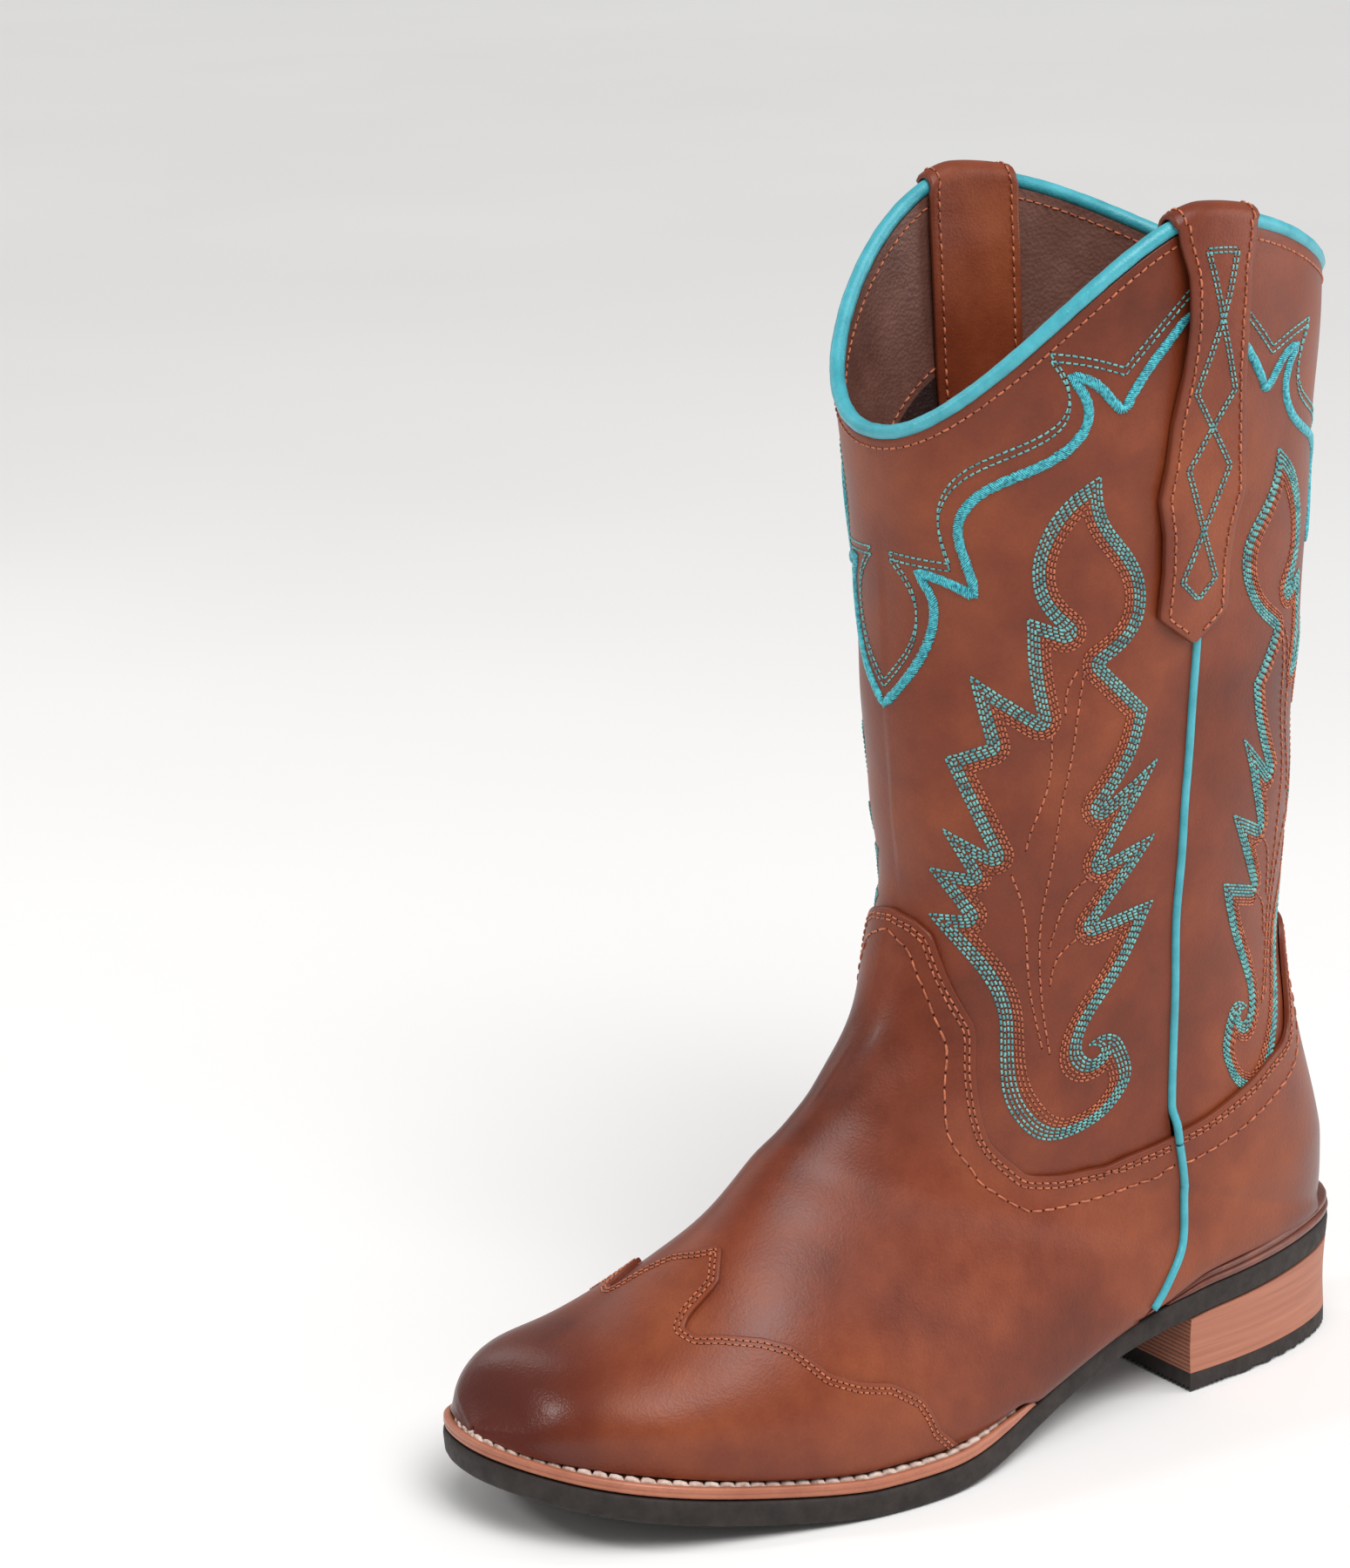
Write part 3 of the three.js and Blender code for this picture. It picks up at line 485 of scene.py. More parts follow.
def leather_piece(name, s, a, layer, material, slot, replaces, step=None, wrap=False, eased=None, **extra):
    """A sheet of leather with rounded borders over rows and angles of the form."""
    off = step(s) if step else 0
    outer, inner = (skin(s, a, layer[k] + off) for k in (1, 0))
    if eased is not None:
        outer, inner = (relaxed(points, eased(points)) for points in (outer, inner))
    outer, distance = rounded(outer, inner, 0.45, wrap)
    points, quads = slab(outer, inner, wrap)
    # Darker near each border: partly the raw edge's own darker colour, partly painted shade along the border.
    edge = np.exp(-distance / 0.9)
    return make(name, points, quads, material, slot, replaces, sharp=60,
                edge=np.concatenate([edge.ravel(), np.ones(edge.size)]), **extra)


def tube(path, up, radius, sides=12, closed=False, flat=1.0):
    """Points and faces of a round cord; radius is a number or one per point."""
    ahead = np.roll(path, -1, 0) - np.roll(path, 1, 0) if closed else np.gradient(path, axis=0)
    side = unit(np.cross(unit(ahead), up))
    top = np.cross(side, unit(ahead))
    q = np.linspace(0, 2 * np.pi, sides, endpoint=False)
    radius = np.broadcast_to(np.asarray(radius, float), (len(path),))[:, None, None]
    around = side[:, None] * np.cos(q)[None, :, None] + top[:, None] * np.sin(q)[None, :, None] * flat
    points = (path[:, None] + around * radius).reshape(-1, 3)
    quads = grid_quads(len(path), sides, wrap_rows=closed, wrap_cols=True)
    if not closed:
        half = sides // 2
        cap = np.array([[k, k + 1, sides - 2 - k, sides - 1 - k] for k in range(half - 1)])
        quads = np.concatenate([quads, cap, cap[:, ::-1] + (len(path) - 1) * sides])
    return points, quads


# ---- Threads

class Threads:
    """Stitches of one colour that are gathered into one mesh."""

    def __init__(self):
        self.points, self.quads, self.count = [], [], 0

    def add(self, points, quads):
        self.points.append(points.reshape(-1, 3))
        self.quads.append(quads + self.count)
        self.count += points.size // 3

    def done(self, name, material, slot):
        return make(name, np.concatenate(self.points), np.concatenate(self.quads), material, slot)


# Dark discs laid where the stitches go in: painted shade of the needle holes.
HOLE_SHADES = Threads()
HOLE_SIDES = 6
HOLE_FACES = np.array([[0, 1, 2, 3], [0, 3, 4, 5]])


def walk(path, at):
    """Places along a polyline at some distances from its start."""
    d = run_of(path[:, :3])
    return np.stack([np.interp(at, d, path[:, k]) for k in range(path.shape[1])], -1)


def length_of(path):
    return np.linalg.norm(np.diff(path, axis=0), axis=1).sum()


def ring_round(ahead, up, sides, flat=1.0):
    """Directions of a ring's points, in the plane of two directions."""
    q = np.linspace(0, 2 * np.pi, sides, endpoint=False)[:, None]
    return ahead[..., None, :] * np.cos(q) + up[..., None, :] * np.sin(q) * flat


def copies(faces, count, size):
    """The faces of one shape for each of its copies, which have size points each."""
    return (faces[None] + (np.arange(count) * size)[:, None, None]).reshape(-1, 4)


def capped_tube(rings, sides):
    """Faces of a short tube of 6 or 8 sides with both its ends closed."""
    fan = np.array([[0, k, k + 1, k + 2] for k in range(1, sides - 2, 2)])
    return np.concatenate([grid_quads(rings, sides, wrap_cols=True), fan, fan[:, ::-1] + (rings - 1) * sides])


def sew(threads, path, up, pitch, radius=0.27, fill=0.84, rise=0.2, slant=0.0, hole=0.26, sides=6):
    """Running stitches along a line on the leather: each one dives into a needle hole at both ends."""
    total = length_of(path)
    count = max(1, round(total / pitch))
    step = total / count
    line = np.concatenate([path, up], 1)
    t = np.array([0, 0.18, 0.5, 0.82, 1])
    at = (np.arange(count)[:, None] + 0.5 + (t - 0.5) * fill) * step
    found = walk(line, at)
    centre, top = found[..., :3], unit(found[..., 3:])
    ahead = unit(np.gradient(centre, axis=1))
    side = np.cross(ahead, top)
    wide = radius * np.array([0.5, 0.92, 1, 0.92, 0.5]) * (1 + 0.08 * RNG.standard_normal((count, 1)))
    high = rise * np.array([-1.2, 0.7, 1, 0.7, -1.2])
    lean = (slant + 0.05 * RNG.standard_normal((count, 1))) * (t - 0.5) * step
    centre = centre + top * high[None, :, None] + side * lean[..., None]
    points = centre[:, :, None] + ring_round(side, top, sides, 0.85) * wide[:, :, None, None]
    threads.add(points, copies(capped_tube(len(t), sides), count, len(t) * sides))
    # Each stitch end gets a dark disc: painted shade inside the needle hole.
    if hole:
        ends = walk(line, (np.arange(count + 1) * step).clip(0, total))
        centre, top = ends[:, :3], unit(ends[:, 3:])
        ahead = unit(np.gradient(centre, axis=0))
        side = np.cross(ahead, top)
        discs = centre[:, None] + ring_round(side, ahead, HOLE_SIDES, 0.8) * hole + top[:, None] * 0.05
        HOLE_SHADES.add(discs, copies(HOLE_FACES, count + 1, HOLE_SIDES))


def on_skin(s, a, off):
    return skin(s, a, off), normal(s, a)


def beside(s, a, distance):
    """The line on the form that runs beside a line, so many mm to its left seen from outside."""
    e = 0.01
    p, n = form(s, a), normal(s, a)
    across = np.cross(n, unit(np.gradient(p, axis=0))) * distance
    ds = (form(s + e, a) - form(s - e, a)) / (2 * e)
    da = (form(s, a + e) - form(s, a - e)) / (2 * e)
    ss, aa, sa = (ds * ds).sum(-1), (da * da).sum(-1), (ds * da).sum(-1)
    u, v = (ds * across).sum(-1), (da * across).sum(-1)
    det = ss * aa - sa * sa + 1e-9
    s2, a2 = s + (aa * u - sa * v) / det, a + (ss * v - sa * u) / det
    moved, before = form(s2, a2), p
    keep = np.concatenate([[True], (np.diff(moved, axis=0) * np.diff(before, axis=0)).sum(1) > 0])
    return s2[keep], a2[keep]


def sew_edge(threads, s, a, distances, pitch, off, **kind):
    """Rows of stitches beside an edge, at some distances from it."""
    for distance in distances:
        sew(threads, *on_skin(*beside(s, a, distance), off), pitch, **kind)


# ---- Stitched patterns, drawn flat: mm round from the front line, height

def stroke(points, step=0.8):
    """A smooth line through points."""
    p = np.array(points, float)
    d = run_of(p)
    at = np.linspace(0, d[-1], max(2, int(d[-1] / step) + 1))
    return np.stack([spline(d, p[:, k])(at) for k in (0, 1)], -1)


FLAME = [
    [(66, 273), (57, 267), (49, 257), (46, 247), (48, 238), (54, 231)],
    [(54, 231), (49, 233), (44, 235)],
    [(44, 235), (44, 222), (46, 207)],
    [(46, 207), (28, 219)],
    [(28, 219), (32, 200)],
    [(32, 200), (20, 196)],
    [(20, 196), (31, 169)],
    [(31, 169), (18, 176)],
    [(18, 176), (25, 163)],
    [(25, 163), (13, 164)],
    [(13, 164), (24, 151)],
    [(24, 151), (13, 151)],
    [
        (13, 151), (23, 142), (33, 131), (38, 122), (41, 114), (48, 101), (58, 91), (65, 86.5), (71, 85),
        (76, 86), (81, 89), (84, 95), (84, 100), (82, 104), (79, 108), (75, 112), (71, 113), (67, 111),
    ],
    [
        (67, 111), (70, 110.5), (72, 108.5), (71, 106.5), (68, 107), (65, 110), (64, 115), (66, 122),
        (71, 131), (80, 150),
    ],
    [(80, 150), (61, 146)],
    [(61, 146), (79, 170)],
    [(79, 170), (62, 164)],
    [(62, 164), (80, 192)],
    [(80, 192), (62, 180)],
    [(62, 180), (74, 198), (77, 207)],
    [(77, 207), (64, 221)],
    [(64, 221), (74, 229), (77, 240), (74, 250), (67, 261), (66, 273)],
]
FLAME_VEINS = [
    [(57, 220), (54, 215), (53, 208)],
    [(59, 220), (57, 211), (54, 195), (50, 179), (47, 164), (45, 150), (46, 136), (50, 122), (56, 110)],
    [(49, 203), (48, 191), (45, 182), (42, 176), (40, 170)],
    [(36, 163), (39, 155), (41, 146), (43, 134), (47, 123), (53, 112)],
    [(60, 161), (53, 156), (50, 149), (48, 141)],
    [(61, 145), (55, 142), (51, 138), (50, 130)],
]
SCALLOP = [
    [(96, 315), (89, 308), (82, 301), (74, 291)],
    [(77, 295), (74, 291), (68, 297), (59, 301)],
    [
        (59, 301), (63, 296), (64, 290), (60, 283), (51, 277), (39, 272), (31, 267), (27, 260), (28, 252),
        (31, 241),
    ],
    [(31, 241), (22, 245), (13, 247)],
    [(13, 247), (18, 240), (17, 230), (9, 217), (-1, 207)],
]
SCALLOP_ROWS = [
    [(96, 321), (88, 314), (75, 302)],
    [(75, 302), (66, 305), (55, 307)],
    [(55, 307), (59, 299), (58, 291), (51, 285), (37, 279), (26, 272), (22, 265), (24, 250)],
    [(24, 250), (4, 251)],
    [(4, 251), (12, 241), (12, 231), (6, 221), (0, 215)],
]
ROW_DEPTHS = (0.92, 1.84, 2.76, 3.7, 4.6, 5.5)
AQUA_ROWS = 4
BACK_NARROW = 0.78  # the flame is narrower on the back panel
SATIN_WIDTH = 2.7
SATIN_THREAD_WIDTH = 0.56


def signed_depth(outline, x, z):
    """How far inside a closed outline each place of a grid lies."""
    a, b = outline, np.roll(outline, -1, 0)
    depth = np.full((len(z), len(x)), 1e9)
    inside = np.zeros(depth.shape, bool)
    gx, gz = np.meshgrid(x, z)
    for (ax, az), (bx, bz) in zip(a, b):
        ux, uz = bx - ax, bz - az
        t = np.clip(((gx - ax) * ux + (gz - az) * uz) / (ux * ux + uz * uz + 1e-12), 0, 1)
        depth = np.minimum(depth, (gx - ax - t * ux) ** 2 + (gz - az - t * uz) ** 2)
        if az != bz:
            inside ^= ((az > gz) != (bz > gz)) & (gx < ux * (gz - az) / uz + ax)
    return np.where(inside, 1, -1) * np.sqrt(depth)


def level_lines(field, level, x, z):
    """Closed lines where a field on a grid has some value."""
    f = field - level
    inside = f > 0
    mixed = inside[:-1, :-1].astype(int) + inside[1:, :-1] + inside[:-1, 1:] + inside[1:, 1:]
    link, place = {}, {}
    for i, j in zip(*np.nonzero((mixed > 0) & (mixed < 4))):
        ring = [(i, j), (i, j + 1), (i + 1, j + 1), (i + 1, j)]
        crossings = []
        for k in range(4):
            p, q = ring[k], ring[(k + 1) % 4]
            if inside[p] != inside[q]:
                key = (min(p, q), max(p, q))
                t = f[p] / (f[p] - f[q])
                place[key] = (x[p[1]] + t * (x[q[1]] - x[p[1]]), z[p[0]] + t * (z[q[0]] - z[p[0]]))
                crossings.append((key, inside[p]))
        if not crossings[0][1]:
            crossings = crossings[1:] + crossings[:1]
        for leave, enter in zip(crossings[::2], crossings[1::2]):
            link[leave[0]] = enter[0]
    loops = []
    while link:
        start = next(iter(link))
        key, loop = start, []
        while key in link:
            loop.append(place[key])
            key = link.pop(key)
        if len(loop) > 8:
            loops.append(np.array([*loop, loop[0]]))
    return loops


def flame_rows():
    """The flame's rows from the outside in: a list of closed lines for each."""
    outline = np.concatenate([stroke(line)[:-1] for line in FLAME])
    x, z = np.arange(8, 90, 0.5), np.arange(80, 278, 0.5)
    depth = signed_depth(outline, x, z)
    rows = [[np.concatenate([outline, outline[:1]])]]
    return rows + [level_lines(depth, level, x, z) for level in ROW_DEPTHS]


def on_panel(line, side, from_back):
    """A flat line laid on a panel of the leg: its points and the directions out."""
    s, a = on_leg(np.maximum(line[:, 0], 0), line[:, 1], from_back)
    return on_skin(s, side * a, SHAFT[1] + tuck(s))


def sew_flat(threads, line, side, from_back, pitch, narrow=1.0, **kind):
    """Sews a flat line onto a panel of the leg; on the back panel it is narrower low down."""
    x, z = line.T
    width = narrow + (0.97 - narrow) * rising(z, 205, 55) if from_back else 1
    sew(threads, *on_panel(np.stack([x * width, z], -1), side, from_back), pitch, **kind)


def satin(threads, line, side, from_back, width=SATIN_WIDTH, thread=SATIN_THREAD_WIDTH):
    """A raised band of threads laid side by side across a line, pointed at both ends."""
    path, up = on_panel(line, side, from_back)
    total = length_of(path)
    along = np.arange(thread / 2, total, 1.04 * thread)
    taper = smooth(np.minimum(along, total - along) / 3.5) ** 0.8
    half = width / 2 * (0.12 + 0.88 * taper) * (1 + 0.07 * RNG.standard_normal(len(along)))
    u = np.array([-1, -0.6, 0, 0.6, 1])
    frame_line = np.concatenate([path, up], 1)
    found = walk(frame_line, np.clip(along[:, None] + 0.8 * u[None] * taper[:, None], 0, total))
    middle = walk(frame_line, along)
    ahead, top = unit(np.gradient(middle[:, :3], axis=0)), unit(middle[:, 3:])
    across = np.cross(ahead, top)
    height = 0.2 + 0.5 * (0.2 + 0.8 * taper[:, None]) * np.sqrt(1 - 0.97 * u[None] ** 2) - 0.3 * u[None] ** 8
    aside = across[:, None] * (half[:, None] * u)[..., None]
    centre = found[..., :3] + aside + top[:, None] * height[..., None]
    points = centre[:, :, None] + ring_round(ahead, top, 6)[:, None] * (0.5 * thread)
    threads.add(points, copies(capped_tube(len(u), 6), len(along), len(u) * 6))


# ---- Materials

def tint(red, green, blue):
    """A colour given as it looks on a screen, from 0 to 255, in the shader's linear units."""
    c = np.array([red, green, blue]) / 255
    return (*np.where(c <= 0.04045, c / 12.92, ((c + 0.055) / 1.055) ** 2.4), 1.0)


class Shader:
    """A material whose nodes are made in a few words."""

    def __init__(self, name):
        self.material = bpy.data.materials.new(name)
        self.material.use_nodes = True
        self.tree = self.material.node_tree
        self.surface = self.tree.nodes["Principled BSDF"]
        self.place = self.node("TexCoord").outputs["Object"]

    def node(self, kind, **values):
        made = self.tree.nodes.new("ShaderNode" + kind)
        for key, value in values.items():
            setattr(made, key, value)
        return made

    def feed(self, socket, value):
        if isinstance(value, bpy.types.NodeSocket):
            self.tree.links.new(value, socket)
        else:
            socket.default_value = value

    def put(self, node, **values):
        """Sets a node's inputs; their names are given with _ for a space."""
        for key, value in values.items():
            node.inputs[key.replace("_", " ")].default_value = value

    def stretched(self, scale):
        mapping = self.node("Mapping")
        self.feed(mapping.inputs["Vector"], self.place)
        self.put(mapping, Scale=scale)
        return mapping.outputs["Vector"]

    def noise(self, scale, detail=3.0, roughness=0.55, stretch=None, distortion=0.0):
        made = self.node("TexNoise")
        self.feed(made.inputs["Vector"], self.stretched(stretch) if stretch else self.place)
        self.put(made, Scale=scale, Detail=detail, Roughness=roughness, Distortion=distortion)
        return made.outputs["Fac"]

    def cells(self, scale):
        made = self.node("TexVoronoi")
        self.feed(made.inputs["Vector"], self.place)
        self.put(made, Scale=scale)
        return made.outputs["Distance"]

    def ramp(self, value, *stops):
        made = self.node("ValToRGB")
        self.feed(made.inputs["Fac"], value)
        elements = made.color_ramp.elements
        while len(elements) < len(stops):
            elements.new(0.5)
        for element, (at, colour) in zip(elements, stops):
            element.position = at
            element.color = colour if isinstance(colour, tuple) else (colour, colour, colour, 1)
        return made.outputs["Color"]

    def tones(self, value, dark, light):
        """Two tones over most of a field's range."""
        return self.ramp(value, (0.3, dark), (0.7, light))

    def calc(self, operation, a, b):
        made = self.node("Math", operation=operation)
        self.feed(made.inputs[0], a)
        self.feed(made.inputs[1], b)
        return made.outputs[0]

    def mix(self, share, a, b, blend="MIX"):
        made = self.node("Mix", data_type="RGBA", blend_type=blend)
        self.feed(made.inputs["Factor"], share)
        self.feed(made.inputs["A"], a)
        self.feed(made.inputs["B"], b)
        return made.outputs["Result"]

    def attribute(self, name):
        return self.node("Attribute", attribute_name=name).outputs["Fac"]

    def done(self, colour, roughness, height=None, depth=0.0002, specular=0.5, coat=(0, 0.03), **constants):
        """The finished material; depth is how high its bumps are, in metres."""
        self.feed(self.surface.inputs["Base Color"], colour)
        self.feed(self.surface.inputs["Roughness"], roughness)
        if height is not None:
            bump = self.node("Bump")
            self.put(bump, Strength=1.0, Distance=depth)
            self.feed(bump.inputs["Height"], height)
            self.feed(self.surface.inputs["Normal"], bump.outputs["Normal"])
        self.put(self.surface, Specular_IOR_Level=specular, Coat_Weight=coat[0], Coat_Roughness=coat[1])
        self.put(self.surface, **constants)
        return self.material


def upper_leather():
    m = Shader("upper_leather")
    clouds = m.noise(13, 3, 0.55)
    mottle = m.noise(70, 5, 0.6)
    blend = m.calc("ADD", m.calc("MULTIPLY", clouds, 0.72), m.calc("MULTIPLY", mottle, 0.28))
    colour = m.ramp(blend, (0.34, tint(90, 34, 15)), (0.5, tint(121, 52, 26)), (0.66, tint(147, 73, 39)))
    flecks = m.ramp(m.noise(1500, 2, 0.6), (0.42, 0.84), (0.62, 1.0))
    colour = m.mix(0.55, colour, flecks, "MULTIPLY")
    # A darker red-brown mixed in: the burnished toe tip, and painted shade on the back of the heel.
    colour = m.mix(m.attribute("burnish"), colour, tint(76, 20, 8))
    # Darker brown near the borders: partly the raw edges' own colour, partly painted shade at the edges.
    colour = m.mix(m.calc("MULTIPLY", m.attribute("edge"), 0.55), colour, tint(104, 46, 28))
    pores = m.cells(1300)
    grain = m.calc("ADD", m.calc("MULTIPLY", pores, 0.5), m.noise(420, 5, 0.6))
    polished = (0.27, 0.27, 0.27, 1)
    roughness = m.mix(m.attribute("burnish"), m.tones(mottle, 0.36, 0.46), polished)
    return m.done(colour, roughness, grain, 0.00009, specular=0.36, coat=(0.05, 0.2))


def turquoise_leather():
    m = Shader("turquoise_leather")
    colour = m.tones(m.noise(120, 4, 0.6), tint(48, 150, 164), tint(78, 180, 194))
    wrinkles = m.calc("ADD", m.noise(260, 4, 0.55), m.calc("MULTIPLY", m.cells(1500), 0.3))
    return m.done(colour, 0.38, wrinkles, 0.00022, coat=(0.1, 0.3))


def lining_leather(name, dark, light, pebble=900):
    m = Shader(name)
    colour = m.tones(m.noise(60, 5, 0.6), dark, light)
    height = m.calc("ADD", m.cells(pebble), m.noise(pebble * 0.3, 4, 0.6))
    return m.done(colour, m.tones(m.noise(90), 0.42, 0.55), height, 0.00014, specular=0.45)


def rubber():
    m = Shader("sole_rubber")
    colour = m.tones(m.noise(140, 5, 0.7), tint(36, 31, 29), tint(56, 49, 46))
    roughness = m.tones(m.noise(300), 0.62, 0.8)
    return m.done(colour, roughness, m.noise(1600, 3, 0.6), 0.00012, specular=0.35)


def heel_wood():
    m = Shader("heel_wood")
    streaks = m.noise(1, 5, 0.6, stretch=(60, 9, 620), distortion=0.4)
    colour = m.ramp(streaks, (0.3, tint(160, 100, 78)), (0.5, tint(174, 112, 88)), (0.72, tint(184, 123, 99)))
    layers = m.node("TexWave", wave_type="BANDS", bands_direction="Z")
    m.feed(layers.inputs["Vector"], m.place)
    m.put(layers, Scale=250.0, Distortion=1.2, Detail=3.0, Detail_Scale=6.0)
    lines = m.ramp(layers.outputs["Fac"], (0.0, 0.28), (0.3, 0.85), (0.6, 1.0))
    facing = m.node("SeparateXYZ")
    m.feed(facing.inputs[0], m.node("NewGeometry").outputs["Normal"])
    breast = m.calc("LESS_THAN", facing.outputs["Y"], -0.7)
    colour = m.mix(breast, colour, m.mix(1.0, colour, lines, "MULTIPLY"))
    return m.done(colour, m.tones(streaks, 0.5, 0.62), streaks, 0.0002, specular=0.4)


def welt_leather():
    m = Shader("welt_leather")
    colour = m.tones(m.noise(50, 5, 0.6), tint(158, 90, 64), tint(186, 116, 88))
    colour = m.mix(m.ramp(m.noise(400, 3), (0.5, 0.0), (0.75, 0.4)), colour, tint(134, 74, 52))
    grain = m.noise(900, 4, 0.6)
    return m.done(colour, 0.42, grain, 0.00015, coat=(0.15, 0.25))


def rand_leather():
    m = Shader("rand_leather")
    colour = m.tones(m.noise(70, 4, 0.6), tint(86, 38, 24), tint(126, 64, 44))
    grain = m.noise(700, 4, 0.6)
    return m.done(colour, 0.34, grain, 0.00015, coat=(0.2, 0.25))


def thread(name, dark, light, roughness=0.42, twist=2600, patch=420):
    m = Shader(name)
    colour = m.ramp(m.noise(patch, 3, 0.6), (0.32, dark), (0.62, light))
    return m.done(colour, roughness, m.noise(twist, 2, 0.5), 0.0001, Sheen_Weight=0.15)


def needle_hole_shade():
    # Painted shade of a needle hole's hollow.
    m = Shader("needle_hole_shade")
    colour = m.tones(m.noise(900, 2), tint(26, 12, 8), tint(48, 24, 16))
    return m.done(colour, 0.9, m.noise(2000, 2), 0.0001, specular=0.1)


def fibre_board():
    m = Shader("board")
    colour = m.tones(m.noise(300, 5, 0.7, stretch=(1, 4, 1)), tint(150, 126, 96), tint(198, 172, 136))
    return m.done(colour, 0.85, m.noise(900, 4, 0.6), 0.0003)


def ground_cork():
    m = Shader("cork")
    grains = m.cells(420)
    colour = m.ramp(grains, (0.1, tint(190, 144, 94)), (0.5, tint(150, 104, 62)), (0.8, tint(92, 58, 34)))
    return m.done(colour, 0.9, grains, 0.0005)


def steel():
    m = Shader("steel")
    brushed = m.noise(1, 4, 0.6, stretch=(900, 20, 900))
    colour = m.tones(brushed, tint(150, 152, 156), tint(196, 198, 202))
    return m.done(colour, m.tones(brushed, 0.28, 0.46), brushed, 0.0001, Metallic=1.0)


def pale_floor():
    m = Shader("studio_floor")
    colour = m.tones(m.noise(2, 2), tint(244, 243, 242), tint(248, 247, 246))
    return m.done(colour, 0.8, specular=0.2)


LEATHER = upper_leather()
TURQUOISE = turquoise_leather()
FACING = lining_leather("lining_facing", tint(92, 56, 46), tint(118, 78, 66))
# The linings' near-black tones are painted shade of the boot's dark inside, not the leather's own colour.
SHADED_LINING = lining_leather("lining", tint(32, 16, 14), tint(50, 28, 25))
RUBBER = rubber()
TURQUOISE_THREAD = thread("turquoise_thread", tint(34, 120, 128), tint(112, 192, 188))
SATIN_THREAD = thread("satin_thread", tint(8, 112, 132), tint(84, 208, 218), 0.3, patch=1100)
BROWN_THREAD = thread("brown_thread", tint(138, 64, 34), tint(200, 112, 72))
WELT_THREAD = thread("welt_thread", tint(168, 132, 116), tint(222, 202, 190), 0.6, twist=1800)

# Layers of the upper, as distances out from the form: inner face, outer face.
OVERLAY = (0.25, 1.7)
FOOT = (-1.2, 0.2)
VAMP_INNER = (-4.6, -3.6)
QUARTER_INNER = (-5.4, -4.5)
SHAFT = (-1.4, 0)
FACING_LAYER = (-3.0, -2.1)
SHAFT_INNER = (-3.6, -3.2)
SEAM_GAP = 0.8
BINDING_LOOK = 2.05
PIPING_RADIUS = 1.2
EDGE_ROW = 7.1  # the row at which the vamp's edge and its stitches meet the side seam
BEND = 15.9  # rows of leather behind it follow the vamp's edge
TOE_TIP = TOE - 0.03
SEAM_FOOT = 12.75  # the row at which the side seam meets the sole
SEAM_DEGREES = 97  # the side seam's angle at the counter's top corner
EVEN = math.radians(95)  # columns stand evenly over this angle, and gather beyond it
OVERLAY_REACH = 2.9  # the angle at which the toe overlay goes in over the sole
HEM = 0.9  # how many rows a panel runs on under the vamp or the counter
TRIM = 0.12  # share of the quarter lining's height that is cut away above the sole
LINING_LAP = 3  # how far the leg's lining goes up under the facing
vamp_edge = edge_line(VAMP_EDGE, 1.2)
counter_edge = edge_line(COUNTER_EDGE, 3.5)
toe_edge = edge_line(TOE_EDGE, 0.5)


def burnish(points):
    """Darker leather: the burnished toe tip, painted shade on the heel's back, darker just above the sole."""
    x, y, z = points[..., 0], points[..., 1], points[..., 2]
    toe = smooth(1.25 - np.sqrt((x + 8) ** 2 + (y + 138) ** 2 + (1.3 * (z - 28)) ** 2) / 42)
    # Painted shade on the back of the heel.
    heel = 0.75 * rising(y, 104, 34) * falling(z, 104, 52)
    # Darker just above the sole.
    low = 0.3 * np.exp(-np.maximum(z - seat(y), 0) / 5)
    return np.clip(0.85 * toe + heel + low, 0, 0.9) * falling(z, 125, 30)


def upper(name, s, a, layer, replaces, material=None, slot="upper_leather", **kind):
    shade = burnish(form(s, a)).ravel()
    kind["burnish"] = np.tile(shade, 2)
    return leather_piece(name, s, a, layer, material or LEATHER, slot, replaces, **kind)


def degrees(a):
    return np.abs(np.degrees(a))


def spread(f, limit):
    """Angles from one limit to the other for f from -1 to 1."""
    return f * EVEN + (limit - EVEN) * f**5


def front_limit(s, margin=0.0):
    """The angle at which the front of the foot ends: the side seam, or the middle of the sole."""
    ahead = np.where(back_y(s) > seam_y(s), gap_angle(s, SEAM_GAP + margin), 0)
    return np.minimum(seam_angle(s) - ahead, np.pi - margin)


def front_grid(edge, first, last, cols, rows, start=0.0, margin=0.0):
    """Rows and columns over the front of the foot, from an edge on the instep to the toe."""
    f = 2 * paced(cols, 300)[None] - 1
    body = np.linspace(first, BEND, rows)
    body = np.concatenate([[first, first + 0.006, first + 0.02], body[1:]])[:, None]
    top = edge(degrees(spread(f, front_limit(EDGE_ROW)))) + start
    s = top + (BEND - top) * (body - first) / (BEND - first)
    a = spread(f, front_limit(body, margin))
    ahead = np.linspace(BEND, last, rows // 2)[1:, None]
    ahead_a = spread(f, np.pi - margin) * np.ones_like(ahead)
    return np.concatenate([s, ahead * np.ones_like(f)]), np.concatenate([a, ahead_a])


def back_grid(edge, cols, rows, trim=0.0, start=0.0, margin=0.0):
    """Rows and columns over the back of the foot, from an edge above the heel down to the sole."""
    first = edge(SEAM_DEGREES) + start
    g, v = 2 * paced(cols, 150)[None] - 1, (paced(rows, 80) * (1 - trim))[:, None]

    def reach(v):
        s = first + (SEAM_FOOT - first) * v
        return np.maximum(0, np.pi - seam_angle(s) - gap_angle(s, 1.5 * SEAM_GAP + margin))

    top = edge(180 - np.degrees(np.abs(g) * reach(0))) + start
    bottom = SPLIT + (SEAM_FOOT - SPLIT) * np.abs(g)
    return top + (bottom - top) * v, np.where(g < 0, 1, -1) * (np.pi - np.abs(g) * reach(v))


